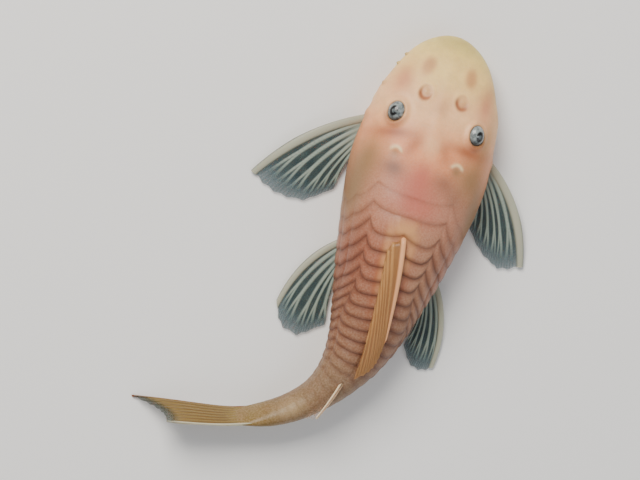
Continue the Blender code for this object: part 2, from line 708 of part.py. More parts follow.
def paired_fan(shape):
    """The roots, tips and bows of a fan of rays from a hinge line beside the body."""
    side, pivot, lengths = shape["side"], shape["pivot"], shape["lengths"]
    roots, tips, bows = [], [], []
    for k in range(shape["count"]):
        u = k / (shape["count"] - 1)
        angle = math.radians(between(shape["angles"], u))
        length = between(lengths, u) + lengths[2] * math.sin(math.pi * u)
        out, back = length * math.sin(angle), length * math.cos(angle)
        lean = np.array((side * math.cos(angle), math.sin(angle), 0.0))
        hinge_back = pivot[1] + between(shape["hinge"], u)
        roots.append(plan(side * pivot[0], hinge_back, between(shape["heights"], u)))
        tips.append(plan(side * (pivot[0] + out), pivot[1] + back, shape["heights"][2]))
        bows.append(lean * shape["bow"] * (1 - BOW_FADE * u) + np.array((0.0, 0.0, PAIRED_ARCH)))
    return {"roots": roots, "tips": tips, "bows": bows, "count": shape["count"], "spine": shape["spine"],
            **PAIRED_WEB}


def make_paired_fins():
    """Both pectoral and both pelvic fins, spread as the photographed animal holds them."""
    return [fin_solid(name, paired_fan(shape), FIN_CLEAR) for name, shape in PAIRED_FINS.items()]


def make_dorsal_fin():
    """The dorsal fin folded down along the back and laid over to the right, under its spine."""
    roots, tips, bows = [], [], []
    for k in range(DORSAL_COUNT):
        u = k / (DORSAL_COUNT - 1)
        aside = between(DORSAL_BASE, u) + DORSAL_SPINE_SHIFT * (1 - u) ** DORSAL_SPINE_EASE
        right, back = (between(ends, u ** ease) for ends, ease in zip(zip(*DORSAL_TIPS), DORSAL_TIP_EASE))
        roots.append(plan(aside, between(DORSAL_ROOTS, u), 0.0))
        tips.append(plan(right, back, 0.0))
        bows.append(np.array((DORSAL_BOW * (1 - u), 0.0, 0.0)))
    fin = {"roots": roots, "tips": tips, "bows": bows, **DORSAL_WEB}

    def laid(point, r, v):
        clear = PLATE_STEP + GAP + DORSAL_CLEAR + DORSAL_ARCH * math.sin(math.pi * v)
        dips = zip(DORSAL_SINK, DORSAL_DIPS)
        web_dip, root_dip = (sink * float(smooth(1 - v / reach)) for sink, reach in dips)
        dip = root_dip + (web_dip if r > DORSAL_WEB_START else 0.0)
        return np.array((point[0], point[1], ridge_height(point) + clear - dip))

    return fin_solid("dorsal_fin", fin, FIN_YELLOW, shape=laid)


def make_adipose_fin():
    """The adipose fin: a stiff leading spine raised off the tail's ridge, with its web behind."""
    roots, tips, bows = [], [], []
    _, back, _ = midline(ADIPOSE_ROOTS[0])
    for k in range(ADIPOSE_COUNT):
        u = k / (ADIPOSE_COUNT - 1)
        s = between(ADIPOSE_ROOTS, u)
        root = skin_point(s, 0.0, 1, lift=-ADIPOSE_SINK)
        up = skin_point(s, 0.0, 1, lift=1.0) - skin_point(s, 0.0, 1)
        reach = ADIPOSE_LENGTH * (1 - ADIPOSE_SHRINK[0] * u)
        rise = ADIPOSE_RISE * (1 - ADIPOSE_SHRINK[1] * u)
        roots.append(root)
        tips.append(root + np.append(back, 0.0) * reach + up * rise)
        bows.append(up * ADIPOSE_BOW * (1 - u))
    return fin_solid("adipose_fin", {"roots": roots, "tips": tips, "bows": bows, **ADIPOSE_WEB}, SKIN)


def make_anal_fin():
    """The anal fin, folded back flat under the tail."""
    roots, tips, bows = [], [], []
    for k in range(ANAL_COUNT):
        u = k / (ANAL_COUNT - 1)
        s = between(ANAL_ROOTS, u)
        length = between(ANAL_LENGTHS, u) + ANAL_LENGTHS[2] * math.sin(math.pi * u)
        point, _, right = midline(s + length)
        roots.append(skin_point(s, 1.0, 1, lift=-ANAL_SINK))
        tips.append(np.append(point + right * between(ANAL_SPREAD, u), ANAL_LEVEL))
        bows.append(np.array((0.0, 0.0, ANAL_BOW)))
    return fin_solid("anal_fin", {"roots": roots, "tips": tips, "bows": bows, **ANAL_WEB}, FIN_CLEAR)


def make_caudal_fin():
    """The tail fin, half closed and leaning away from the bend, its lower lobe the longer."""
    start = STATIONS[-1, 0] - CAUDAL_SINK

    def placed(_, r, v):
        u = float(np.clip(r / (CAUDAL_COUNT - 1), -0.05, 1.05))
        length = between((CAUDAL_LOWER, CAUDAL_UPPER), u)
        length -= CAUDAL_HOLLOW * math.sin(math.pi * np.clip(u, 0, 1))
        length *= 1 - CAUDAL_SCALLOP * v * abs(math.sin(math.pi * r))
        s = start + (length + CAUDAL_SINK) * v
        middle, _, right = midline(s)
        height = (2 * u - 1) * between((CAUDAL_ROOT_HALF, CAUDAL_TIP_HALF), float(smooth(v)))
        flat = middle + right * height * math.sin(roll(s))
        return np.array((flat[0], flat[1], CAUDAL_LEVEL - CAUDAL_DROP * v * v + height * math.cos(roll(s))))

    zero = [np.zeros(3)] * CAUDAL_COUNT
    return fin_solid("caudal_fin", {"roots": zero, "tips": zero, "bows": zero, **CAUDAL_WEB}, FIN_YELLOW,
                     shape=placed)


def eye_place(side):
    """Centre of one eye, the skin point over it and the outward direction."""
    here, out = surface_frame(EYE_ARC, EYE_SHARE, side)
    return here - out * (EYE_RADIUS - EYE_PROUD), here, out


def make_head():
    """The head, with orbit rims and sockets, nostrils, cheek spines and the snout's stubs of bristles."""
    head = skinned("head", head_rings(), SNOUT_SKIN, front=skin_point(0.0, 0.5, 1))
    extras, cutters = [], []
    for side in (-1, 1):
        centre, here, out = eye_place(side)
        reach = EYE_RADIUS + ORBIT_CLEAR
        extras.append(torus(f"orbit{side}", here - out * RIM_SINK, out, reach, ORBIT_RIM, SKIN))
        cutters.append(sphere(f"socket{side}", centre, EYE_RADIUS + GAP, SKIN, 16, 10))
        nose, up = surface_frame(NOSTRIL_ARC, NOSTRIL_SHARE, side)
        reach = NOSTRIL_RADIUS + NOSTRIL_CLEAR
        extras.append(torus(f"nostril{side}", nose - up * RIM_SINK, up, reach, NOSTRIL_RIM, SKIN, 12, 5))
        cutters.append(sphere(f"pit{side}", nose + up * PIT_RISE, NOSTRIL_RADIUS, SKIN, 10, 6))
        extras += cheek_spines(side)
    combine(head, extras + snout_stubs(), "UNION")
    combine(head, cutters, "DIFFERENCE")
    return head


def cheek_spines(side):
    """The tuft of hooked spines behind each cheek, folded back against the head."""
    made = []
    back = np.array((0.0, -1.0, 0.0))
    for k in range(CHEEK_SPINES):
        u = k / (CHEEK_SPINES - 1)
        root, out = surface_frame(CHEEK_ARC + CHEEK_STEP * u, between(CHEEK_SHARES, u), side)
        length = CHEEK_LENGTH + CHEEK_EXTRA * math.sin(math.pi * between(CHEEK_SWELL, u))
        path = [root - out * ROOT_DEPTH, root + out * CHEEK_LIFTS[0] + back * CHEEK_KNEE * length,
                root + out * CHEEK_LIFTS[1] + back * length]
        made.append(tapered(f"cheek{side}_{k}", path, CHEEK_RADII, SKIN))
    return made


def snout_stubs():
    """The two stubs of bristles on the left margin of the snout."""
    made = []
    for k, arc in enumerate(BRISTLE_ARCS):
        root, out = surface_frame(arc, BRISTLE_SHARE, -1)
        path = [root - out * ROOT_DEPTH, root + out * 0.5 * BRISTLE_LENGTH, root + out * BRISTLE_LENGTH]
        made.append(tapered(f"bristle_{k}", path, BRISTLE_RADII, SKIN))
    return made


def make_mouth_disc():
    """The sucker mouth under the head: a flat-rimmed disc with its hollow, jaws and corner barbels."""
    centre = plan(0.0, MOUTH_BACK, 0.0)
    rings = []
    for share, height in MOUTH_PROFILE:
        rim = []
        for j in range(MOUTH_POINTS):
            turn = -2 * math.pi * j / MOUTH_POINTS
            stretch = LOWER_LIP if math.sin(turn) < 0 else UPPER_LIP
            across = MOUTH_RADIUS * share * math.cos(turn) * MOUTH_WIDEN
            ahead = MOUTH_RADIUS * share * math.sin(turn) * stretch
            rim.append(centre + np.array((across, ahead, height)))
        rings.append(rim)
    disc = skinned("mouth_disc", rings, LIP_PINK)
    extras = []
    for front in (1, -1):
        path = [centre + np.array((x, front * (JAW_APART + JAW_BEND * (1 - (x / JAW_HALF) ** 2)), JAW_HEIGHT))
                for x in np.linspace(-JAW_HALF, JAW_HALF, len(JAW_RADII))]
        extras.append(tapered(f"jaw{front}", path, JAW_RADII, LIP_PINK))
    for side in (-1, 1):
        start = centre + np.array((side * MOUTH_RADIUS * BARBEL_START[0], *BARBEL_START[1:]))
        path = [start + np.array(offset) * np.array((side, 1.0, 1.0)) for offset in BARBEL_PATH]
        extras.append(tapered(f"barbel{side}", path, BARBEL_RADII, LIP_PINK))
    return combine(disc, extras, "UNION")


def make_body():
    """The trunk and the tail's two lengths, cut apart between plate seams."""
    seams = [plate_rings(index) for index in range(len(PLATE_EDGES))]
    flat = [one for pair in seams for one in pair]
    trunk_end = 2 * TRUNK_PLATES
    base_end = trunk_end + 2 * TAIL_BASE_PLATES
    last_trunk = TRUNK_PLATES - 1
    last_base = last_trunk + TAIL_BASE_PLATES
    skinned("trunk", nape_rings() + flat[:trunk_end] + [cut_ring(last_trunk)], SKIN)
    skinned("tail_base", [cut_ring(last_trunk, GAP)] + flat[trunk_end:base_end] + [cut_ring(last_base)], SKIN)
    skinned("tail_stalk", [cut_ring(last_base, GAP)] + flat[base_end:] + [end_ring(STATIONS[-1, 0])], SKIN)


def make_eyes():
    """Both eyeballs, each in its socket."""
    for name, side in (("eye_left", -1), ("eye_right", 1)):
        centre, _, _ = eye_place(side)
        sphere(name, centre, EYE_RADIUS, EYE_BLUE)


def make_fins():
    """Every fin, each trimmed to the body with the gap between."""
    fins = make_paired_fins() + [make_dorsal_fin(), make_adipose_fin(), make_anal_fin(), make_caudal_fin()]
    body = body_cutter("body_cutter")
    for fin in fins:
        cutter = body.copy()
        bpy.context.scene.collection.objects.link(cutter)
        combine(fin, [cutter], "DIFFERENCE")
    bpy.data.objects.remove(body)


def main():
    for item in list(bpy.data.objects):
        bpy.data.objects.remove(item)
    make_head()
    make_eyes()
    make_mouth_disc()
    make_body()
    make_fins()


main()
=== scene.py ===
"""A pale bristlenose pleco as a museum's still, life-size model, lying on its belly with its tail bent left.

Sizes are millimetres until a mesh is made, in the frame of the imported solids: +Y points ahead, +X to the
animal's right, +Z up, and the floor is at Z = 0. An arc is a distance behind the snout tip along the body's
midline, and a share runs round half of a section, from 0 at the back's ridge to 1 at the belly line.
"""

import logging
import math
from collections.abc import Callable
from dataclasses import dataclass, field
from enum import Enum

import bpy
import numpy as np
from mathutils import Matrix, Vector


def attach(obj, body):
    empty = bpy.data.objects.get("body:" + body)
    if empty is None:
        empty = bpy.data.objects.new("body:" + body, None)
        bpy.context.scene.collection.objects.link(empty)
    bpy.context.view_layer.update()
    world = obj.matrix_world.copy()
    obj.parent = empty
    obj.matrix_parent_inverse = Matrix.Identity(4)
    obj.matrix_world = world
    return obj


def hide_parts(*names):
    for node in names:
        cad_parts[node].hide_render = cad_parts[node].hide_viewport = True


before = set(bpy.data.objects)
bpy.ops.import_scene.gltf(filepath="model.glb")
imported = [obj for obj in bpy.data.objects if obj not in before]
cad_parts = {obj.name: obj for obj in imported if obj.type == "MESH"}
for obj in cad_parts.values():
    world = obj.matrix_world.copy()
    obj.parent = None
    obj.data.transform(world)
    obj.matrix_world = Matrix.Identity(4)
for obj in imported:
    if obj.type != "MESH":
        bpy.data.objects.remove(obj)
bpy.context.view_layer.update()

LOG = logging.getLogger("pleco")
MM = 0.001
TINY = 1e-9
SEED = 7
BODY = "root"
LEFT = -1
RIGHT = 1
SIDES = (LEFT, RIGHT)
Colour = tuple[float, float, float, float]
Array = np.ndarray


class Slot(Enum):
    """The record's material slots."""

    SKIN = "skin"
    EYE = "eye"
    LIPS = "lips"
    FIN_YELLOW = "fin_yellow"
    FIN_PALE = "fin_pale"


class Tint(Enum):
    """The soft tints that lie over the skin's tone, each a value painted on the mesh; some of them hold
    painted light and shade.
    """

    GAP = "gap"
    BLUSH = "blush"
    WARM = "warm"
    OLIVE = "olive"
    DUSK = "dusk"
    PALE = "pale"
    ORANGE = "orange"


def smooth(t: Array | float) -> Array:
    """Eases from 0 to 1 as t goes from 0 to 1."""
    t = np.clip(t, 0.0, 1.0)
    return t * t * (3 - 2 * t)


def bell(distance: Array, width: float) -> Array:
    """A soft bump, 1 at no distance and nearly 0 past twice the width."""
    return np.exp(-(distance / width) ** 2)


def swell(distance: Array, form: tuple[float, float]) -> Array:
    """A soft bump of a height and a width."""
    return form[0] * bell(distance, form[1])


def between(ends: tuple[float, ...], u: Array | float) -> Array | float:
    """The value a share u of the way from the first end to the second."""
    return ends[0] + (ends[1] - ends[0]) * u


def eased(value: Array | float, ends: tuple[float, float]) -> Array:
    """Eases from 0 to 1 as a value goes from the first end to the second."""
    return smooth((value - ends[0]) / (ends[1] - ends[0]))


def unit(vectors: Array) -> Array:
    """The same directions, each with a length of 1."""
    return vectors / np.maximum(np.linalg.norm(vectors, axis=-1, keepdims=True), TINY)


def softened(table: Array, passes: int) -> Array:
    """A table of values with each evened out towards its neighbours, a number of times.

    Args:
        table: The values, by row and column.
        passes: The number of times.

    Returns:
        The softened table.
    """
    for _ in range(passes):
        wide = np.pad(table, 1, mode="edge")
        table = (4 * table + wide[:-2, 1:-1] + wide[2:, 1:-1] + wide[1:-1, :-2] + wide[1:-1, 2:]) / 8
    return table


def paint(red: int, green: int, blue: int) -> Colour:
    """A colour as a paint chart gives it, 0 to 255, in the renderer's linear values.

    Args:
        red: The red, 0 to 255.
        green: The green, 0 to 255.
        blue: The blue, 0 to 255.

    Returns:
        The colour with a full alpha.
    """
    def linear(value: int) -> float:
        """One channel, with the screen's curve taken out."""
        share = value / 255
        return share / 12.92 if share <= 0.04045 else ((share + 0.055) / 1.055) ** 2.4
    return linear(red), linear(green), linear(blue), 1.0


def grid_faces(rows: int, columns: int, closed: bool) -> Array:
    """The quads of a grid of points, row by row.

    Args:
        rows: The number of rows of points.
        columns: The number of points in each row.
        closed: Whether each row's last point joins its first.

    Returns:
        One line of four point numbers for each quad.
    """
    i, j = np.meshgrid(np.arange(rows - 1), np.arange(columns if closed else columns - 1), indexing="ij")
    a = (i * columns + j).ravel()
    b = (i * columns + (j + 1) % columns).ravel()
    return np.stack([a, b, b + columns, a + columns], axis=1)


def capped_faces(rows: int, columns: int) -> list[list[int]]:
    """The faces of a closed form of rings, with a point at either end.

    Args:
        rows: The number of rings.
        columns: The number of points in each ring.

    Returns:
        The point numbers of each face, where the two end points follow the rings.
    """
    count = rows * columns
    last = count - columns
    nexts = [(j + 1) % columns for j in range(columns)]
    faces = grid_faces(rows, columns, True).tolist()
    faces += [[nexts[j], j, count] for j in range(columns)]
    faces += [[last + j, last + nexts[j], count + 1] for j in range(columns)]
    return faces


def new_object(name: str, data: bpy.types.ID) -> bpy.types.Object:
    """Makes an object of a mesh, light or camera and adds it to the scene.

    Args:
        name: The object's name.
        data: What it shows.

    Returns:
        The object.
    """
    made = bpy.data.objects.new(name, data)
    bpy.context.scene.collection.objects.link(made)
    return made


def new_material(name: str, fixed: dict[str, object]) -> tuple[bpy.types.Material, bpy.types.Node]:
    """Makes a material.

    Args:
        name: The material's name.
        fixed: The shader's fixed values by the names of its sockets.

    Returns:
        The material and its shader.
    """
    made = bpy.data.materials.new(name)
    made.use_nodes = True
    shader = made.node_tree.nodes["Principled BSDF"]
    for key, value in fixed.items():
        shader.inputs[key].default_value = value
    return made, shader


@dataclass
class MeshDraft:
    """Points, faces and painted values gathered before one mesh is made."""

    points: list[Array] = field(default_factory=list)
    faces: list[list[int]] = field(default_factory=list)
    values: dict[str, list[Array]] = field(default_factory=dict)
    count: int = 0

    def add(self, points: Array, faces: Array | list, **values: Array) -> None:
        """Adds a closed form.

        Args:
            points: One line of x, y and z in millimetres for each point.
            faces: The point numbers of each face, within these points.
            values: Painted values by name, one number for each point.
        """
        points = np.asarray(points, float).reshape(-1, 3)
        self.points.append(points)
        self.faces += [[int(v) + self.count for v in face] for face in faces]
        for name in set(values) | set(self.values):
            line = self.values.setdefault(name, [np.zeros(self.count)] if self.count else [])
            line.append(np.broadcast_to(values.get(name, 0.0), (len(points),)).astype(float))
        self.count += len(points)

    def make(self, name: str, material: bpy.types.Material) -> bpy.types.Object:
        """Makes the object, smooth shaded, with its faces turned outwards.

        Args:
            name: The object's name.
            material: Its material.

        Returns:
            The object.
        """
        points = np.concatenate(self.points) * MM
        mesh = bpy.data.meshes.new(name)
        mesh.from_pydata(points.tolist(), [], self.faces)
        mesh.update()
        corners = np.array([[points[f[0]], points[f[1]], points[f[2]]] for f in self.faces])
        if np.linalg.det(corners).sum() < 0:
            mesh.flip_normals()
        for key, lines in self.values.items():
            layer = mesh.attributes.new(key, "FLOAT", "POINT")
            layer.data.foreach_set("value", np.concatenate(lines).astype(np.float32))
        mesh.shade_smooth()
        mesh.materials.append(material)
        return new_object(name, mesh)


def fit(piece: bpy.types.Object, slot: Slot, *nodes: str) -> bpy.types.Object:
    """Fixes a finished piece to the body, in place of the solids that it stands for.

    Args:
        piece: The finished piece.
        slot: The material slot, which is not used.
        nodes: The solids that it replaces.

    Returns:
        The piece.
    """
    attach(piece, BODY)
    if nodes:
        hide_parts(*nodes)
    LOG.info("%s: %d faces", piece.name, len(piece.data.polygons))
    return piece


class Wiring:
    """Adds and joins the nodes of one material or node group."""

    def __init__(self, tree: bpy.types.NodeTree) -> None:
        """Starts on a tree, which keeps the nodes that it has."""
        self.tree = tree

    def node(self, kind: str, settings: dict | None = None, **inputs: object) -> bpy.types.Node:
        """A new node.

        Args:
            kind: The node's type name, without ShaderNode.
            settings: The node's own properties.
            inputs: Values or sockets for its inputs, with _ for a space in a name.

        Returns:
            The node.
        """
        made = self.tree.nodes.new("ShaderNode" + kind)
        for key, value in (settings or {}).items():
            setattr(made, key, value)
        for key, value in inputs.items():
            self.feed(made.inputs[key.replace("_", " ")], value)
        return made

    def feed(self, socket: bpy.types.NodeSocket, value: object) -> None:
        """Gives a socket a link, where value is a socket, or else a fixed value.

        Args:
            socket: The input that is fed.
            value: A socket or a fixed value.
        """
        if isinstance(value, bpy.types.NodeSocket):
            self.tree.links.new(value, socket)
        else:
            socket.default_value = value

    def painted(self, name: str) -> bpy.types.NodeSocket:
        """The value painted on the mesh under that name."""
        return self.node("Attribute", {"attribute_name": name}).outputs["Fac"]

    def maths(self, operation: str, first: object, second: object = 0.0) -> bpy.types.NodeSocket:
        """One sum of two values, kept between 0 and 1.

        Args:
            operation: The kind of sum.
            first: The first value or socket.
            second: The second value or socket.

        Returns:
            The result's socket.
        """
        made = self.node("Math", {"operation": operation, "use_clamp": True})
        self.feed(made.inputs[0], first)
        self.feed(made.inputs[1], second)
        return made.outputs[0]

    def blend(self, share: object, under: object, over: object, mode: str = "MIX") -> bpy.types.NodeSocket:
        """Lays one colour over another.

        Args:
            share: How much of the upper colour shows.
            under: The lower colour.
            over: The upper colour.
            mode: The way of mixing them.

        Returns:
            The mixed colour.
        """
        made = self.node("Mix", {"data_type": "RGBA", "blend_type": mode, "clamp_factor": True})
        self.feed(made.inputs[0], share)
        self.feed(made.inputs[6], under)
        self.feed(made.inputs[7], over)
        return made.outputs[2]

    def ramp(self, value: bpy.types.NodeSocket,
             stops: tuple[tuple[float, Colour], ...]) -> bpy.types.NodeSocket:
        """The colour at value on a ramp of stops.

        Args:
            value: The place on the ramp, from 0 to 1.
            stops: Each stop's place and colour.

        Returns:
            The colour's socket.
        """
        made = self.node("ValToRGB", Fac=value)
        made.color_ramp.interpolation = "EASE"
        elements = made.color_ramp.elements
        for k, (place, colour) in enumerate(stops):
            element = elements[k] if k < 2 else elements.new(place)
            element.position = place
            element.color = colour
        return made.outputs["Color"]


def node_group(name: str, inputs: dict[str, float], outputs: tuple[str, ...],
               wire: Callable[[Wiring, dict, dict], None]) -> bpy.types.NodeTree:
    """A shader node group with number inputs and value outputs, built once.

    Args:
        name: The group's name.
        inputs: Each input's name and first value.
        outputs: The outputs' names.
        wire: Fills the group, given its wiring, its input sockets and its output sockets.

    Returns:
        The group.
    """
    found = bpy.data.node_groups.get(name)
    if found:
        return found
    tree = bpy.data.node_groups.new(name, "ShaderNodeTree")
    for key, value in inputs.items():
        tree.interface.new_socket(key, in_out="INPUT", socket_type="NodeSocketFloat").default_value = value
    for key in outputs:
        tree.interface.new_socket(key, in_out="OUTPUT", socket_type="NodeSocketFloat")
    start = tree.nodes.new("NodeGroupInput")
    end = tree.nodes.new("NodeGroupOutput")
    wire(Wiring(tree), {key: start.outputs[key] for key in inputs}, {key: end.inputs[key] for key in outputs})
    return tree


def mottle_group() -> bpy.types.NodeTree:
    """Cloudy blotches from 0 to 1, at a size in lumps per metre, with an edge contrast.

    Returns:
        The group.
    """
    def wire(w: Wiring, given: dict, out: dict) -> None:
        """Noise on the object's own coordinates, with its contrast raised.

        Args:
            w: The group's wiring.
            given: The group's input sockets.
            out: The group's output sockets.
        """
        place = w.node("TexCoord").outputs["Object"]
        noise = w.node("TexNoise", Vector=place, Scale=given["Scale"], Detail=4.0, Roughness=0.6)
        spread = w.node("MapRange", Value=noise.outputs["Fac"])
        w.feed(spread.inputs["From Min"], given["Low"])
        w.feed(spread.inputs["From Max"], given["High"])
        w.feed(out["Value"], spread.outputs["Result"])
    return node_group("mottle", {"Scale": 400.0, "Low": 0.35, "High": 0.65}, ("Value",), wire)


def grain_group() -> bpy.types.NodeTree:
    """The height of a skin set with tiny denticles over a fine leathery grain.

    Returns:
        The group.
    """
    def wire(w: Wiring, given: dict, out: dict) -> None:
        """Rounded cells for the denticles and noise for the grain, added up.

        Args:
            w: The group's wiring.
            given: The group's input sockets.
            out: The group's output sockets.
        """
        place = w.node("TexCoord").outputs["Object"]
        cells = w.node("TexVoronoi", Vector=place, Scale=given["Denticles"])
        points = w.maths("SUBTRACT", 0.6, cells.outputs["Distance"])
        raised = w.maths("MULTIPLY", points, given["Raised"])
        noise = w.node("TexNoise", Vector=place, Scale=given["Leather"], Detail=5.0, Roughness=0.6)
        w.feed(out["Height"], w.maths("ADD", raised, w.maths("MULTIPLY", noise.outputs["Fac"], 0.5)))
    return node_group("grain", {"Denticles": 3500.0, "Raised": 0.6, "Leather": 1400.0}, ("Height",), wire)


@dataclass(frozen=True)
class Finish:
    """What every finish of the model shares: a painted surface with mottling, fine grain and a thin coat."""

    name: str
    roughness: float = 0.45
    coat: float = 0.1
    shine: float = 0.3
    coat_roughness: float = 0.25
    soft: float = 0.12
    soft_radius: tuple[float, float, float] = (1.0, 0.45, 0.3)
    soft_depth: float = 1.2
    grain: float = 0.35
    grain_depth: float = 0.06
    denticles: float = 3500.0
    raised: float = 0.6
    leather: float = 1400.0
    mottle_scale: float = 450.0

    def start(self) -> tuple[bpy.types.Material, Wiring, bpy.types.Node]:
        """The material with its fixed values set.

        Returns:
            The material, its wiring and its shader.
        """
        made, shader = new_material(self.name, {
            "Roughness": self.roughness,
            "Specular IOR Level": self.shine,
            "Coat Weight": self.coat,
            "Coat Roughness": self.coat_roughness,
            "Subsurface Weight": self.soft,
            "Subsurface Radius": self.soft_radius,
            "Subsurface Scale": self.soft_depth * MM,
        })
        return made, Wiring(made.node_tree), shader

    def mottle(self, w: Wiring, finer: float = 1.0,
               ends: tuple[float, float] = (0.35, 0.65)) -> bpy.types.NodeSocket:
        """The mottle group's value in this material.

        Args:
            w: The material's wiring.
            finer: How many times finer it is than the finish's own mottling.
            ends: The noise that turns to 0 and the noise that turns to 1.

        Returns:
            The value's socket.
        """
        group = w.node("Group", {"node_tree": mottle_group()}, Scale=self.mottle_scale * finer,
                       Low=ends[0], High=ends[1])
        return group.outputs["Value"]

    def roughen(self, w: Wiring, shader: bpy.types.Node) -> None:
        """Adds the grain group's bump to the shader.

        Args:
            w: The material's wiring.
            shader: The material's shader.
        """
        group = w.node("Group", {"node_tree": grain_group()}, Denticles=self.denticles,
                       Raised=self.raised, Leather=self.leather)
        bump = w.node("Bump", Height=group.outputs["Height"], Strength=self.grain,
                      Distance=self.grain_depth * MM)
        w.feed(shader.inputs["Normal"], bump.outputs["Normal"])


@dataclass(frozen=True)
class SkinFinish(Finish):
    """The skin's paint: a tone that changes along the body with painted light in it, and soft tints over it.
    """

    # The tone by arc: the skin's own colours with painted light in them, brightest at the snout and falling
    # off to a darker tail.
    tones_and_light_falloff: tuple[tuple[float, Colour], ...] = (
        (0.0, paint(228, 206, 110)),
        (0.08, paint(254, 214, 130)),
        (0.16, paint(255, 198, 140)),
        (0.26, paint(248, 158, 106)),
        (0.36, paint(188, 126, 98)),
        (0.5, paint(158, 94, 70)),
        (0.68, paint(138, 94, 68)),
        (0.8, paint(128, 102, 74)),
        (0.9, paint(116, 90, 54)),
        (0.96, paint(122, 98, 44)),
        (1.0, paint(122, 98, 42)),
    )
    tints: tuple[tuple[Tint, Colour, float], ...] = (
        (Tint.OLIVE, paint(130, 108, 72), 0.85),
        (Tint.BLUSH, paint(192, 96, 82), 0.85),
        (Tint.DUSK, paint(104, 70, 60), 0.85),
        (Tint.WARM, paint(154, 78, 46), 0.9),
        (Tint.ORANGE, paint(208, 150, 98), 0.9),
        # The pale colour serves the pale marks and also painted highlights.
        (Tint.PALE, paint(250, 220, 166), 0.85),
        # The gap colour is partly the darker skin of the seams between plates and partly painted shade beside
        # each raised rear edge.
        (Tint.GAP, paint(92, 46, 30), 0.9),
    )
    belly: Colour = paint(226, 194, 158)
    cloud: Colour = paint(140, 90, 64)
    cloud_share: float = 0.16
    speck: Colour = paint(246, 214, 182)
    speck_share: float = 0.12
    speck_finer: float = 6.0
    speck_ends: tuple[float, float] = (0.4, 0.62)

    def build(self) -> bpy.types.Material:
        """The finished material.

        Returns:
            The material.
        """
        made, w, shader = self.start()
        colour = w.ramp(w.painted("along"), self.tones_and_light_falloff)
        colour = w.blend(w.painted("belly"), colour, self.belly)
        clouds = self.mottle(w)
        colour = w.blend(w.maths("MULTIPLY", clouds, self.cloud_share), colour, self.cloud)
        specks = self.mottle(w, self.speck_finer, self.speck_ends)
        colour = w.blend(w.maths("MULTIPLY", specks, self.speck_share), colour, self.speck)
        for tint, over, strength in self.tints:
            share = w.maths("MULTIPLY", w.painted(tint.value), strength)
            colour = w.blend(share, colour, over)
        w.feed(shader.inputs["Base Color"], colour)
        self.roughen(w, shader)
        return made


@dataclass(frozen=True)
class FinFinish(Finish):
    """A fin's paint: bony rays over a web that lets light through."""

    ray: Colour = paint(150, 162, 148)
    # The web and tip colours, which the pale fins keep, are painted shade: the unlit dark seen through a
    # clear membrane, not the web's own.
    web: Colour = paint(48, 66, 68)
    spine: Colour = paint(172, 172, 150)
    far: Colour = paint(150, 112, 70)
    tip: Colour = paint(78, 102, 108)
    web_alpha: float = 0.74
    tip_alpha: float = 0.5
    cloudy: float = 0.12
    joint_share: float = 0.35

    def build(self) -> bpy.types.Material:
        """The finished material.

        Returns:
            The material.
        """
        made, w, shader = self.start()
        web = w.blend(w.maths("MULTIPLY", self.mottle(w), self.cloudy), self.web, self.ray)
        colour = w.blend(w.painted("ray"), web, self.ray)
        colour = w.blend(w.maths("MULTIPLY", w.painted("joint"), self.joint_share), colour, self.web)
        colour = w.blend(w.painted("tip"), colour, self.tip)
        colour = w.blend(w.painted("spine"), colour, self.spine)
        colour = w.blend(w.painted("far"), colour, self.far)
        w.feed(shader.inputs["Base Color"], colour)
        bony = w.maths("MAXIMUM", w.painted("spine"), w.painted("far"))
        solid = w.maths("MAXIMUM", w.painted("ray"), bony)
        thin = w.node("MapRange", Value=solid)
        w.feed(thin.inputs["To Min"], self.web_alpha)
        left = w.maths("SUBTRACT", 1.0, w.maths("MULTIPLY", w.painted("tip"), 1 - self.tip_alpha))
        w.feed(shader.inputs["Alpha"], w.maths("MULTIPLY", thin.outputs["Result"], left))
        self.roughen(w, shader)
        return made


@dataclass(frozen=True)
class EyeFinish(Finish):
    """A clear gloss coat over a mottled blue-grey iris and its dark, lobed pupil, with painted shade round
    its rim.
    """

    iris: Colour = paint(146, 154, 152)
    fleck: Colour = paint(78, 86, 88)
    # The rim colour is painted shade: a thin ring where the ball meets its socket and a broader shade along
    # its rear.
    rim: Colour = paint(40, 44, 42)
    pupil: Colour = paint(14, 12, 12)
    fleck_ends: tuple[float, float] = (0.42, 0.62)

    def build(self) -> bpy.types.Material:
        """The finished material.

        Returns:
            The material.
        """
        made, w, shader = self.start()
        colour = w.blend(self.mottle(w, ends=self.fleck_ends), self.iris, self.fleck)
        colour = w.blend(w.painted("rim"), colour, self.rim)
        colour = w.blend(w.painted("pupil"), colour, self.pupil)
        w.feed(shader.inputs["Base Color"], colour)
        return made


@dataclass(frozen=True)
class LipFinish(Finish):
    """Soft pink lip skin with paler papillae, and horn-brown tooth tips."""

    lip: Colour = paint(214, 160, 142)
    papilla: Colour = paint(238, 200, 178)
    horn: Colour = paint(150, 84, 40)
    cloudy: float = 0.3

    def build(self) -> bpy.types.Material:
        """The finished material.

        Returns:
            The material.
        """
        made, w, shader = self.start()
        colour = w.blend(w.maths("MULTIPLY", self.mottle(w), self.cloudy), self.lip, self.papilla)
        colour = w.blend(w.painted("raised"), colour, self.papilla)
        colour = w.blend(w.painted("horn"), colour, self.horn)
        w.feed(shader.inputs["Base Color"], colour)
        self.roughen(w, shader)
        return made


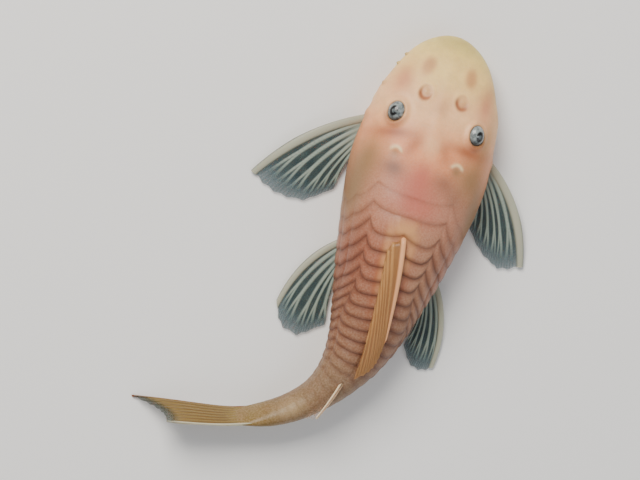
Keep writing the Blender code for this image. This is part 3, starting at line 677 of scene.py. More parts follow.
@dataclass
class Midline:
    """The body's midline in plan, with its turn and its roll by arc."""

    snout: tuple[float, float] = (6.24, 45.71)
    head_turn: float = math.radians(0.9)
    head_turn_end: tuple[float, float] = (24.0, 54.0)
    bend: tuple[float, float] = (54.0, 103.0)
    bend_angle: float = math.radians(78)
    rolled: tuple[float, float] = (50.0, 86.0)
    roll_angle: float = math.radians(28)
    length: float = 122.0
    step: float = 0.05
    coarse: int = 4

    def __post_init__(self) -> None:
        """Traces the plan points once."""
        self.arcs = np.arange(0.0, self.length, self.step)
        turn = self.heading(self.arcs)
        moves = np.stack([-np.sin(turn), -np.cos(turn)], axis=1) * self.step
        self.points = np.array(self.snout) + np.vstack([np.zeros(2), np.cumsum(moves[:-1], axis=0)])

    def heading(self, arc: Array) -> Array:
        """The turn towards the animal's left at each arc."""
        return self.bend_angle * eased(arc, self.bend) - self.head_turn * (1 - eased(arc, self.head_turn_end))

    def point(self, arc: Array) -> Array:
        """The plan points at each arc."""
        return np.stack([np.interp(arc, self.arcs, self.points[:, k]) for k in (0, 1)], axis=-1)

    def right(self, arc: Array) -> Array:
        """The unit vectors to the animal's right in plan."""
        turn = self.heading(arc)
        return np.stack([np.cos(turn), -np.sin(turn)], axis=-1)

    def back(self, arc: Array) -> Array:
        """The unit vectors backwards along the body in plan."""
        turn = self.heading(arc)
        return np.stack([-np.sin(turn), -np.cos(turn)], axis=-1)

    def roll(self, arc: Array) -> Array:
        """How far the section leans away from the bend."""
        return self.roll_angle * eased(arc, self.rolled)

    def nearest(self, plan: Array) -> Array:
        """The arcs of the midline's points nearest to plan points.

        Args:
            plan: One line of x and y for each point.

        Returns:
            The arc for each point.
        """
        spots = self.points[::self.coarse]
        found = [int(np.argmin(np.hypot(spots[:, 0] - x, spots[:, 1] - y))) for x, y in plan.reshape(-1, 2)]
        return self.arcs[::self.coarse][np.array(found)].reshape(plan.shape[:-1])

    def from_snout(self, right: float, back: float, height: float) -> Array:
        """A point by its distance right of and behind the snout tip."""
        return np.array((self.snout[0] + right, self.snout[1] - back, height))


# The body's sections: arc, half width, top, bottom, the widest level as a share of the depth, and the
# squareness of the section above and below that level. The last two thin out over the tail fin's rays.
STATIONS = np.array((
    (0.0, 0.0, 3.3, 3.3, 0.30, 2.0, 2.0),
    (1.0, 3.8, 5.4, 2.35, 0.30, 2.1, 2.2),
    (4.0, 7.5, 7.8, 2.2, 0.30, 2.2, 2.6),
    (10.0, 10.8, 10.7, 2.2, 0.30, 2.3, 3.0),
    (17.0, 12.9, 13.3, 2.2, 0.30, 2.35, 3.2),
    (22.0, 13.6, 14.5, 0.0, 0.32, 2.3, 3.4),
    (28.0, 14.0, 15.4, -0.35, 0.34, 2.2, 3.5),
    (34.0, 13.5, 16.2, -0.35, 0.35, 2.1, 3.5),
    (42.0, 12.0, 16.7, -0.35, 0.36, 2.0, 3.4),
    (50.0, 10.3, 15.6, 0.0, 0.38, 2.0, 3.2),
    (58.0, 8.35, 13.8, 0.9, 0.41, 2.0, 2.8),
    (66.0, 6.3, 12.2, 2.0, 0.45, 2.0, 2.4),
    (72.0, 4.65, 11.1, 2.5, 0.48, 2.0, 2.2),
    (78.0, 3.3, 10.1, 2.4, 0.50, 2.0, 2.1),
    (84.0, 2.6, 9.2, 1.9, 0.50, 2.0, 2.0),
    (90.6, 1.6, 8.4, 1.2, 0.50, 2.0, 2.0),
    (94.0, 0.55, 8.2, 1.25, 0.50, 2.0, 2.0),
    (97.5, 0.03, 7.6, 1.95, 0.50, 2.0, 2.0),
))

# The arc at which the skin's tones have run from their first to their last.
PAINTED_LENGTH = 94.0


@dataclass
class BodyForm:
    """The smooth form of the body, as a table of sections that any point is read from."""

    midline: Midline
    arc_cells: int = 401
    share_cells: int = 181
    outline_cells: int = 401
    ridge_reach: float = 0.46
    ridge_cells: int = 24

    def __post_init__(self) -> None:
        """Fills the tables of each section's outline and outward direction, by arc and share."""
        self.end = float(STATIONS[-1, 0])
        self.roots = np.linspace(0.0, math.sqrt(self.end), self.arc_cells)
        shares = np.linspace(0.0, 1.0, self.share_cells)
        self.section = self.stations(self.roots ** 2)
        self.out = np.zeros((self.arc_cells, self.share_cells))
        self.up = np.zeros_like(self.out)
        angle = np.linspace(math.pi / 2, -math.pi / 2, self.outline_cells)
        rise = np.sin(angle)
        for k, (half, top, bottom, share, upper, lower) in enumerate(self.section):
            widest = bottom + share * (top - bottom)
            power = np.where(rise >= 0, 2 / upper, 2 / lower)
            out = half * np.abs(np.cos(angle)) ** power
            up = np.where(rise >= 0, top - widest, bottom - widest) * np.abs(rise) ** power + widest
            run = np.concatenate([[0.0], np.cumsum(np.hypot(np.diff(out), np.diff(up)))])
            at = shares * max(run[-1], TINY)
            self.out[k] = np.interp(at, run, out)
            self.up[k] = np.interp(at, run, up)
        self.girth = np.hypot(np.diff(self.out, axis=1), np.diff(self.up, axis=1)).sum(axis=1)
        along = unit(np.stack([np.gradient(self.out, axis=1), np.gradient(self.up, axis=1)], axis=-1))
        self.normal = np.stack([-along[..., 1], along[..., 0]], axis=-1)
        self.normal[:, 0] = (0.0, 1.0)
        self.normal[:, -1] = (0.0, -1.0)

    @staticmethod
    def root(arc: Array) -> Array:
        """The square root of each arc, by which the tables' rows are spaced."""
        return np.sqrt(np.maximum(arc, 0.0))

    @staticmethod
    def stations(arcs: Array) -> Array:
        """The section's values at each arc, on a smooth curve through the stations.

        Args:
            arcs: The arcs.

        Returns:
            One line of six values for each arc, as the stations have after theirs.
        """
        xs, ys = np.sqrt(STATIONS[:, 0]), STATIONS[:, 1:]
        slopes = np.gradient(ys, xs, axis=0)
        x = BodyForm.root(arcs)
        i = np.clip(np.searchsorted(xs, x) - 1, 0, len(xs) - 2)
        h = (xs[i + 1] - xs[i])[:, None]
        t = np.clip((x[:, None] - xs[i][:, None]) / h, 0.0, 1.0)
        return ((1 + 2 * t) * (1 - t) ** 2 * ys[i] + t * (1 - t) ** 2 * h * slopes[i]
                + t * t * (3 - 2 * t) * ys[i + 1] + t * t * (t - 1) * h * slopes[i + 1])

    def read(self, table: Array, arc: Array, share: Array) -> Array:
        """Reads a table between its cells.

        Args:
            table: One of the tables by arc and share.
            arc: The arcs to read at.
            share: The shares to read at.

        Returns:
            The values there.
        """
        a = np.clip(self.root(arc) / self.roots[-1], 0, 1) * (self.arc_cells - 1)
        b = np.clip(share, 0, 1) * (self.share_cells - 1)
        i = np.minimum(a.astype(int), self.arc_cells - 2)
        j = np.minimum(b.astype(int), self.share_cells - 2)
        u, v = a - i, b - j
        if table.ndim == 3:
            u, v = u[..., None], v[..., None]
        return ((table[i, j] * (1 - u) + table[i + 1, j] * u) * (1 - v)
                + (table[i, j + 1] * (1 - u) + table[i + 1, j + 1] * u) * v)

    def girth_at(self, arc: Array) -> Array:
        """The length round half of the section at each arc."""
        return np.interp(self.root(arc), self.roots, self.girth)

    def surface(self, arc: Array, share: Array, side: Array, lift: Array | float = 0.0) -> Array:
        """Points of the skin.

        Args:
            arc: The arcs.
            share: The shares round half of the section.
            side: 1 on the animal's right and -1 on its left.
            lift: How far each point stands off the smooth form.

        Returns:
            One x, y and z for each point.
        """
        given = (np.asarray(line, float) for line in (arc, share, side, lift))
        arc, share, side, lift = np.broadcast_arrays(*given)
        normal = self.read(self.normal, arc, share)
        out = self.read(self.out, arc, share) + lift * normal[..., 0]
        up = self.read(self.up, arc, share) + lift * normal[..., 1]
        top, bottom = (np.interp(self.root(arc), self.roots, self.section[:, k]) for k in (1, 2))
        centre = (top + bottom) / 2
        lean = self.midline.roll(arc)
        across = side * out
        above = up - centre
        sideways = (across * np.cos(lean) + above * np.sin(lean))[..., None]
        plan = self.midline.point(arc) + self.midline.right(arc) * sideways
        height = centre - across * np.sin(lean) + above * np.cos(lean)
        return np.concatenate([plan, np.maximum(height, 0.0)[..., None]], axis=-1)

    def stand(self, arc: float, share: float, side: int) -> tuple[Array, Array]:
        """A point of the skin and the outward direction there.

        Args:
            arc: The point's arc.
            share: Its share.
            side: Its side.

        Returns:
            The point and the direction.
        """
        here = self.surface(arc, share, side)
        return here, unit(self.surface(arc, share, side, 0.5) - here)

    def ridge_height(self, plan: Array) -> Array:
        """The height of the back's upper surface under plan points.

        Args:
            plan: One line of x and y for each point.

        Returns:
            The height for each point.
        """
        arcs = np.minimum(self.midline.nearest(plan), STATIONS[-2, 0])
        across = ((plan - self.midline.point(arcs)) * self.midline.right(arcs)).sum(axis=-1)
        shares = np.linspace(0.0, self.ridge_reach, self.ridge_cells)
        share = np.concatenate([shares[::-1], shares[1:]])
        side = np.repeat((LEFT, RIGHT), (len(shares), len(shares) - 1))
        heights = np.zeros(arcs.size)
        for k, (arc, reach) in enumerate(zip(arcs.ravel(), across.ravel())):
            line = self.surface(arc, share, side)
            sideways = (line[:, :2] - self.midline.point(arc)) @ self.midline.right(arc)
            heights[k] = np.interp(reach, sideways, line[:, 2])
        return heights.reshape(arcs.shape)


@dataclass
class Plates:
    """The rows of bony plates: where each plate's raised rear edge runs across the body."""

    rows: int = 5
    trunk_edges: tuple[float, ...] = (0.0, 0.22, 0.35, 0.46, 0.57, 0.66)
    tail_edges: tuple[float, ...] = (0.0, 0.38, 0.56, 0.71, 0.84, 0.94)
    rows_change: tuple[float, float] = (50.0, 64.0)
    step: float = 0.34
    step_length: float = 0.08
    first: float = 33.5
    last: float = 88.0
    pitch_end: float = 2.05
    pitch_extra: float = 1.9
    pitch_fade: float = 6.0
    top_scallop: tuple[float, float] = (0.75, 0.40)
    lowest: float = 0.6
    ridge_lift: tuple[float, float] = (0.45, 0.9)
    lower_scallop: tuple[float, float] = (0.16, 0.34)
    skew: float = 1.2
    sweep: float = 1.3
    swept_rows: float = 2.0
    tail_form: tuple[float, float] = (54.0, 70.0)
    shield_bulge: float = 0.55
    shield_droop: float = 0.4
    shields_end: tuple[float, float] = (36.6, 40.6)

    def __post_init__(self) -> None:
        """Lays the seams down the body."""
        edges = [self.first]
        while edges[-1] < self.last:
            edges.append(edges[-1] + float(self.pitch(len(edges) - 1)))
        self.edges = np.array(edges)

    def pitch(self, index: Array | float) -> Array | float:
        """The length of a plate by its number."""
        return self.pitch_end + self.pitch_extra * np.exp(-np.asarray(index) / self.pitch_fade)

    def row_share(self, arc: Array, row: Array, place: Array) -> Array:
        """How far round the half section a place in a row is.

        Args:
            arc: The arc of each point.
            row: Its row.
            place: Its place in the row, from 0 to 1.

        Returns:
            The share for each point.
        """
        change = eased(arc, self.rows_change)
        trunk = np.append(self.trunk_edges, 1.0)
        tail = np.append(self.tail_edges, 1.0)
        low = trunk[row] * (1 - change) + tail[row] * change
        high = trunk[row + 1] * (1 - change) + tail[row + 1] * change
        return low + (high - low) * place

    def tail_share(self, arc: float) -> float:
        """How far the trunk's edges have turned into the tail's gentle waves at an arc."""
        return float(eased(arc, self.tail_form))

    def bulge(self, arc: float, row: Array, place: Array) -> Array:
        """A plate's rounded rear edge, from 0 furthest forward to 1 where it reaches furthest back.

        Args:
            arc: The arc that the plate's edge is set out from.
            row: Each point's row.
            place: Each point's place in its row.

        Returns:
            The share for each point.
        """
        shield = self.shield_bulge - self.shield_droop * place ** 3
        inner = 1 - between(self.ridge_lift, self.tail_share(arc)) * (1 - place / self.lowest) ** 2
        outer = 1 - (np.maximum(place - self.lowest, 0.0) / (1 - self.lowest)) ** 3
        beside = np.where(place < self.lowest, inner, outer)
        top = between((shield, beside), eased(arc, self.shields_end))
        other = np.sin(math.pi * place ** self.skew)
        return np.where(row == 0, top, np.where(row >= self.rows, 0.0, other))

    def crest(self, index: int, row: Array, place: Array) -> Array:
        """The arcs of the rear edges of the plates with that number.

        Args:
            index: The number, counted from the head.
            row: Each point's row.
            place: Each point's place in its row.

        Returns:
            The arc for each point.
        """
        base = float(self.edges[index])
        tail = self.tail_share(base)
        top = between(self.top_scallop, tail)
        seam = top * (self.bulge(base, 0, 1.0) - 0.5)
        aside = np.clip((row + place - 1) / self.swept_rows, 0.0, 1.0)
        swept = self.sweep * (1 - (1 - aside) ** 2) * (1 - tail)
        bulge = self.bulge(base, row, place)
        lower = between(self.lower_scallop, tail) * bulge
        return base + self.pitch(index) * np.where(row == 0, top * (bulge - 0.5), seam + swept + lower)


@dataclass(frozen=True)
class Patch:
    """A soft spot of one tint, seen from above."""

    tint: Tint
    across: float
    arc: float
    wide: float
    long: float
    strength: float
    turn: float = 0.0
    crisp: float = 1.0

    def shade(self, across: Array, arc: Array) -> Array:
        """How strong the spot is at points by their distance right of the midline and their arc.

        Args:
            across: The distances right of the midline.
            arc: The arcs.

        Returns:
            The strength at each point.
        """
        turn = math.radians(self.turn)
        x, y = across - self.across, arc - self.arc
        u = x * math.cos(turn) + y * math.sin(turn)
        v = y * math.cos(turn) - x * math.sin(turn)
        return self.strength * np.exp(-((u / self.wide) ** 2 + (v / self.long) ** 2) ** self.crisp)


PATCHES = (
    Patch(Tint.WARM, -4.5, 7.3, 1.2, 2.0, 0.36, 18, 2),
    Patch(Tint.BLUSH, -4.5, 7.5, 1.4, 2.2, 0.4, 18, 2),
    Patch(Tint.WARM, 4.4, 7.4, 1.1, 1.9, 0.36, -10, 2),
    Patch(Tint.BLUSH, 4.4, 7.5, 1.4, 2.1, 0.42, -10, 2),
    Patch(Tint.BLUSH, -8.6, 11.2, 2.1, 3.4, 0.7, 16),
    Patch(Tint.BLUSH, 8.8, 11.8, 1.8, 4.0, 0.7),
    Patch(Tint.WARM, 0.1, 14.5, 1.5, 1.9, 0.34),
    Patch(Tint.WARM, -7.6, 22.2, 3.8, 1.2, 0.9, -14),
    Patch(Tint.WARM, 7.6, 21.9, 3.6, 1.3, 0.85, 4),
    Patch(Tint.WARM, -3.3, 23.6, 1.3, 2.8, 0.6, 28),
    Patch(Tint.WARM, 3.0, 23.4, 1.3, 2.6, 0.5, -28),
    Patch(Tint.BLUSH, 0.0, 28.2, 1.9, 2.2, 0.4),
    Patch(Tint.BLUSH, -0.6, 31.0, 4.2, 3.6, 0.75),
    Patch(Tint.BLUSH, 0.8, 35.6, 5.0, 2.8, 0.6),
    # A painted highlight on the crown of the head.
    Patch(Tint.PALE, 0.2, 22.6, 1.7, 2.4, 0.4),
    Patch(Tint.OLIVE, -10.8, 27.6, 3.2, 4.6, 0.72),
    Patch(Tint.OLIVE, 9.6, 27.0, 3.2, 4.4, 0.85),
    Patch(Tint.OLIVE, -12.0, 36.0, 2.4, 7.0, 0.85),
    Patch(Tint.OLIVE, 12.4, 34.0, 1.6, 6.0, 0.75),
    Patch(Tint.OLIVE, 0.4, 1.2, 6.0, 1.6, 0.3),
    Patch(Tint.DUSK, -5.9, 29.0, 2.4, 1.9, 0.9),
    Patch(Tint.DUSK, 4.7, 29.2, 2.6, 2.2, 0.62),
    Patch(Tint.DUSK, 7.4, 31.6, 1.8, 1.8, 0.35),
    # Painted light on the right flank, which the lamps leave in shade.
    Patch(Tint.PALE, 6.0, 49.0, 3.0, 9.0, 0.16),
    Patch(Tint.OLIVE, 10.8, 19.5, 1.3, 4.5, 0.5),
    # Painted shade darkening the left flank.
    Patch(Tint.DUSK, -8.6, 50.0, 1.8, 10.0, 0.3),
    Patch(Tint.ORANGE, 0.3, 41.2, 2.6, 1.8, 0.9),
    Patch(Tint.ORANGE, 2.2, 45.0, 0.9, 3.6, 0.8),
    Patch(Tint.ORANGE, -2.1, 47.0, 0.8, 7.0, 0.9, -6.7),
    Patch(Tint.WARM, -2.7, 49.5, 0.5, 8.0, 0.8, -6.7),
    Patch(Tint.WARM, 3.0, 52.0, 0.6, 8.0, 0.75, -3),
    # A painted highlight on the top of the tail's stalk.
    Patch(Tint.PALE, 0.0, 84.0, 2.0, 3.0, 0.25),
)


@dataclass
class HeadForm:
    """What stands up from or sinks into the smooth head, with the tints that go with it."""

    body: BodyForm
    end: float = 32.0
    upper: float = 0.5
    upper_fade: float = 0.06
    eye_arc: float = 18.2
    eye_share: float = 0.265
    eye_radius: float = 2.45
    eye_proud: float = 1.2
    eye_narrow: float = 0.84
    rim_away: float = 2.4
    rim_wide: float = 0.6
    rim_rise: tuple[float, float] = (0.34, 0.64)
    dish_radius: float = 2.1
    dish_depth: float = 1.3
    brow_away: float = 4.0
    brow: tuple[float, float] = (0.18, 1.6)
    nostril_arc: float = 12.8
    nostril_share: float = 0.135
    nostril_halves: tuple[float, float] = (1.3, 1.55)
    nostril_rim: tuple[float, float] = (0.1, 0.3)
    nostril_depth: tuple[float, float] = (0.1, 0.36)
    flap: tuple[float, float] = (0.12, 0.8)
    crescent: tuple[float, float, float] = (6.35, 26.2, 1.2)
    crescent_rim: tuple[float, float] = (0.1, 0.34)
    crescent_dip: tuple[float, float] = (0.1, 0.7)
    gill: tuple[float, float, float] = (23.0, 0.60, 0.80)
    gill_wide: float = 0.28
    gill_slant: float = 3.0
    gill_depth: float = 0.45
    cheek: tuple[float, float] = (14.0, 0.50)
    cheek_rise: tuple[float, float] = (0.3, 2.6)
    cheek_tall: float = 0.07
    ridge: tuple[float, float] = (0.14, 1.2)
    ridge_start: tuple[float, float] = (2.0, 6.0)
    ridge_end: tuple[float, float] = (26.0, 20.0)
    bumps: tuple[tuple[float, float, int, float, float], ...] = (
        (13.1, 0.47, LEFT, 0.55, 0.55), (19.9, 0.50, LEFT, 1.3, 0.5), (22.4, 0.5, RIGHT, 1.2, 0.3))
    scute: tuple[float, float, float] = (37.4, 41.4, 3.1)
    scute_rise: float = 0.2

    def eye_centre(self, side: int) -> tuple[Array, Array]:
        """Centre of an eyeball and the outward direction of its socket."""
        here, out = self.body.stand(self.eye_arc, self.eye_share, side)
        return here - out * (self.eye_radius - self.eye_proud), out

    def about(self, points: Array, arc: float, share: float, side: int) -> tuple[Array, Array]:
        """Where points lie from a spot on the head, towards the midline and ahead.

        Args:
            points: The points.
            arc: The spot's arc.
            share: The spot's share.
            side: The spot's side.

        Returns:
            The distances towards the midline and ahead.
        """
        spot, out = self.body.stand(arc, share, side)
        inward = np.array((-float(side), 0.0, 0.0))
        inward = unit(inward - out * float(inward @ out))
        ahead = np.cross(inward, out) * side
        return (points - spot) @ inward, (points - spot) @ ahead

    def relief(self, points: Array, arc: Array, share: Array, side: Array, across: Array,
               tints: dict[Tint, Array]) -> Array:
        """How far each skin point is raised, with the tints darkened to match.

        Args:
            points: The smooth skin's points.
            arc: Their arcs.
            share: Their shares.
            side: Their sides.
            across: Their distance right of the midline.
            tints: The painted values, which are added to.

        Returns:
            The lift of each point.
        """
        lift = np.zeros(arc.shape)
        above = smooth((self.upper - share) / self.upper_fade)
        for one in SIDES:
            near = (side == one) & (arc < self.end) & (share < self.upper)
            lift += near * self.socket(points, arc, one, tints, near)
            lift += near * self.nostril(points, one, tints, near)
            lift += above * self.crescent_mark(arc, across, one, above, tints)
        lift += self.cheek_form(arc, share, tints)
        ridge = swell(across, self.ridge) * eased(arc, self.ridge_start) * eased(arc, self.ridge_end)
        lift += ridge * above
        for place, level, one, wide, tall in self.bumps:
            spot, _ = self.body.stand(place, level, one)
            bump = bell(np.linalg.norm(points - spot, axis=-1), wide)
            lift += tall * bump
            tints[Tint.OLIVE] += 0.5 * bump
        return lift + self.locking_scute(arc, across, above, tints)

    def socket(self, points: Array, arc: Array, side: int, tints: dict[Tint, Array], near: Array) -> Array:
        """One eye's socket, with its rim raised highest towards the midline.

        Args:
            points: The smooth skin's points.
            arc: Their arcs.
            side: The eye's side.
            tints: The painted values, which are added to.
            near: Which points may take part.

        Returns:
            The lift of each point.
        """
        inward, ahead = self.about(points, self.eye_arc, self.eye_share, side)
        away = np.hypot(inward / self.eye_narrow, ahead)
        medial = smooth(inward / 3.0 + 0.5)
        behind = smooth((arc - self.eye_arc) / 1.6)
        tints[Tint.WARM] += near * swell(away - self.rim_away, (0.4, 0.7)) * between((0.1, 1.0), behind)
        tints[Tint.OLIVE] += near * swell(away - self.dish_radius, (0.8, 0.32)) * between((0.3, 1.0), behind)
        rim = between(self.rim_rise, medial) * bell(away - self.rim_away, self.rim_wide)
        dish = self.dish_depth * smooth((self.dish_radius - away) / 0.5)
        brow = swell(away - self.brow_away, self.brow) * smooth((self.eye_arc - arc + 1) / 4)
        return rim - dish + brow

    def nostril(self, points: Array, side: int, tints: dict[Tint, Array], near: Array) -> Array:
        """One nostril: a shallow oval dish with a low rim, deepest at its rear, and a flap ahead of that,
        with painted shade in the dish.

        Args:
            points: The smooth skin's points.
            side: The nostril's side.
            tints: The painted values, which are added to.
            near: Which points may take part.

        Returns:
            The lift of each point.
        """
        inward, ahead = self.about(points, self.nostril_arc, self.nostril_share, side)
        away = np.hypot(inward / self.nostril_halves[0], ahead / self.nostril_halves[1])
        # The warm and dusk values are painted shade in the dish, darkest in a crescent at its rear.
        rear = smooth(0.5 - (0.9 * ahead - 0.35 * side * inward) / 1.6)
        shade = 0.36 * smooth((1.3 - away) / 0.4) + swell(away - 0.8, (0.5, 0.34)) * rear
        tints[Tint.WARM] += near * shade
        tints[Tint.DUSK] += near * swell(away - 0.8, (0.35, 0.28)) * rear
        flap = np.hypot(inward / 0.7, (ahead - 0.2) / 0.6)
        dish = between(self.nostril_depth, rear) * smooth((1.15 - away) / 0.5)
        return swell(away - 1.25, self.nostril_rim) - dish + swell(flap, self.flap)

    def crescent_mark(self, arc: Array, across: Array, side: int, above: Array,
                      tints: dict[Tint, Array]) -> Array:
        """The pale crescent behind one eye, standing up round the front of a darker dip.

        Args:
            arc: The points' arcs.
            across: Their distance right of the midline.
            side: The eye's side.
            above: 1 on the upper side, fading to 0.
            tints: The painted values, which are added to.

        Returns:
            The lift of each point.
        """
        aside, behind, size = self.crescent
        away = np.hypot(across - side * aside, (arc - behind) * 0.9)
        front = smooth((behind - 0.1 - arc) / 0.8)
        tints[Tint.PALE] += swell(away - size, (0.95, 0.3)) * front * above
        tints[Tint.OLIVE] += swell(away, (0.6, size * 0.8)) * above
        return swell(away - size, self.crescent_rim) * front - swell(away, self.crescent_dip)

    def cheek_form(self, arc: Array, share: Array, tints: dict[Tint, Array]) -> Array:
        """The swell of the cheeks, with the narrow gill opening sunk behind and below it.

        Args:
            arc: The points' arcs.
            share: Their shares.
            tints: The painted values, which are added to.

        Returns:
            The lift of each point.
        """
        at, start, end = self.gill
        slit = bell(arc - at - self.gill_slant * (share - start), self.gill_wide)
        slit *= smooth((share - start) / 0.04) * smooth((end - share) / 0.05)
        tints[Tint.WARM] += 0.6 * slit
        cheek = swell(arc - self.cheek[0], self.cheek_rise) * bell(share - self.cheek[1], self.cheek_tall)
        return cheek - self.gill_depth * slit

    def locking_scute(self, arc: Array, across: Array, above: Array, tints: dict[Tint, Array]) -> Array:
        """The raised plate that the dorsal spine locks against, with its rounded rear edge.

        Args:
            arc: The points' arcs.
            across: Their distance right of the midline.
            above: 1 on the upper side, fading to 0.
            tints: The painted values, which are added to.

        Returns:
            The lift of each point.
        """
        front, rear, half = self.scute
        inside = smooth((half - 0.2 * (arc - front) - np.abs(across)) / 1.2)
        edge = rear - 0.14 * across ** 2 - arc
        body = above * inside * smooth((arc - front) / 1.2)
        tints[Tint.ORANGE] += 0.5 * body * smooth((edge + 0.3) / 0.4)
        tints[Tint.WARM] += 0.5 * above * bell(edge + 0.2, 0.3) * smooth((2.3 - np.abs(across)) / 0.5)
        return self.scute_rise * body * smooth(edge / 0.4)


@dataclass
class Skin:
    """One skin over head, trunk and tail, with the plates raised in it."""

    body: BodyForm
    plates: Plates
    head: HeadForm
    finish: SkinFinish
    head_rings: int = 170
    row_columns: tuple[int, ...] = (24, 18, 14, 12, 10)
    belly_columns: int = 12
    head_crowding: float = 1.5
    plate_steps: tuple[float, ...] = (0.0, 0.06, 0.14, 0.24, 0.36, 0.48, 0.6, 0.72, 0.82, 0.9, 0.96, 1.0)
    tail_rings: int = 18
    tail_fades: tuple[float, float] = (0.6, 0.5)
    uneven: float = 0.13
    edge_rise: tuple[float, float] = (0.35, 1.0)
    rise_power: float = 1.3
    edge_round: float = 0.45
    edge_round_ends: tuple[float, float] = (0.84, 1.0)
    dome: float = 0.12
    groove: tuple[float, float] = (0.1, 0.32)
    gap_behind: tuple[float, float] = (1.0, 0.72)
    gap_ahead: tuple[float, float] = (0.75, 0.45)
    gap_between: tuple[float, float] = (0.3, 0.34)
    nape_lift: tuple[float, float] = (0.1, 1.2)
    nape_gap: tuple[float, float] = (0.2, 0.3)
    nape_shares: tuple[float, ...] = (0.3, 0.55, 0.8, 1.0)
    whole_shields: int = 2
    gap_strength: float = 0.84
    gap_fade: float = 0.86
    gap_fade_ends: tuple[float, float] = (64.0, 78.0)
    plate_fade: float = 0.88
    plate_fade_ends: tuple[float, float] = (66.0, 80.0)
    tinted_side: tuple[float, float] = (0.66, 0.52)
    belly_side: tuple[float, float] = (0.66, 0.71)
    belly_rear: tuple[float, float] = (74.0, 66.0)
    vent_arc: float = 58.0
    vent_rim: tuple[float, float] = (0.3, 0.35)
    fold_share: float = 0.8
    fold: tuple[float, float] = (0.12, 0.012)

    def columns(self) -> tuple[Array, Array, Array]:
        """The row, place and side of each column, from the ridge down the right and up the left.

        Returns:
            The three values for each column.
        """
        rows, places = [], []
        for row, count in enumerate(self.row_columns):
            rows += [row] * count
            places += list(np.arange(count) / count)
        rows += [self.plates.rows] * (self.belly_columns + 1)
        places += list(np.linspace(0, 1, self.belly_columns + 1))
        row, place = np.array(rows), np.array(places)
        inner = slice(-2, 0, -1)
        sides = np.concatenate([np.ones(len(row)), -np.ones(len(row) - 2)])
        return np.concatenate([row, row[inner]]), np.concatenate([place, place[inner]]), sides

    def rings(self, row: Array, place: Array, side: Array) -> tuple[Array, Array, Array]:
        """Lays the rings from the snout to the tail fin.

        Args:
            row: Each column's row.
            place: Each column's place in its row.
            side: Each column's side.

        Returns:
            The arcs, the lifts and how near each point is to a gap between plates.
        """
        rng = np.random.default_rng(SEED)
        first = self.plates.crest(0, row, place)
        plated = row < self.plates.rows
        shares = np.arange(1, self.head_rings + 1) / self.head_rings
        arcs = [first * share ** self.head_crowding for share in shares]
        lifts = [self.plates.step * plated * swell(first - arc, self.nape_lift) for arc in arcs]
        gaps = [plated * swell(first - arc, self.nape_gap) for arc in arcs]
        for index in range(len(self.plates.edges) - 1):
            for arc, lift, gap in self.band(index, row, place, side, rng):
                arcs.append(arc)
                lifts.append(lift * plated)
                gaps.append(np.minimum(gap, 1) * plated)
        last = arcs[-1]
        for k in range(1, self.tail_rings + 1):
            arcs.append(last + (self.body.end - last) * k / self.tail_rings)
            lifts.append(lifts[-1] * self.tail_fades[0])
            gaps.append(gaps[-1] * self.tail_fades[1])
        return np.array(arcs), np.array(lifts), np.array(gaps)

    def band(self, index: int, row: Array, place: Array, side: Array,
             rng: np.random.Generator) -> list[tuple[Array, Array, Array]]:
        """Lays the rings over one band of plates, which rise to their rear edges.

        Args:
            index: The band's number.
            row: Each column's row.
            place: Each column's place in its row.
            side: Each column's side.
            rng: Where the plates' uneven thickness comes from.

        Returns:
            The arcs, the lifts and the nearness to a gap of each ring.
        """
        plates = self.plates
        start = plates.crest(index, row, place)
        end = plates.crest(index + 1, row, place)
        girth = self.body.girth_at(start)
        near, far = (plates.row_share(start, row, np.full_like(place, edge)) for edge in (0.0, 1.0))
        aside = girth * plates.row_share(start, row, place)
        slope = np.gradient(start) / np.maximum(np.abs(np.gradient(aside)), 1e-3)
        steep = np.sqrt(1 + slope ** 2)
        seam = np.minimum(place, 1 - place) * girth * (far - near)
        if index < self.whole_shields:
            seam[(row == 0) & (place < 0.5)] = np.inf
        raised = rng.normal(1.0, self.uneven, (plates.rows + 1, 2))[row, (side > 0).astype(int)]
        bulge = plates.bulge(float(plates.edges[index]), row, place)
        weight, after = (self.nape_shares[min(index + k, len(self.nape_shares) - 1)] for k in (0, 1))
        rings = []
        for step in self.plate_steps:
            arc = start + plates.step_length + (end - start - plates.step_length) * step
            rounded = step ** self.rise_power * (1 - self.edge_round * eased(step, self.edge_round_ends))
            lift = plates.step * raised * between(self.edge_rise, bulge) * rounded * after
            lift += self.dome * np.sin(math.pi * place) * math.sin(math.pi * min(step + 0.1, 1))
            lift -= weight * swell(seam, self.groove)
            # The gap value, just behind and just ahead of each raised edge and along the row seams: partly
            # the seams' darker skin, partly painted shade.
            gap = weight * swell((arc - start) / steep, self.gap_behind)
            gap += after * swell((end - arc) / steep, self.gap_ahead)
            rings.append((arc, lift, np.maximum(gap, weight * after * swell(seam, self.gap_between))))
        return rings

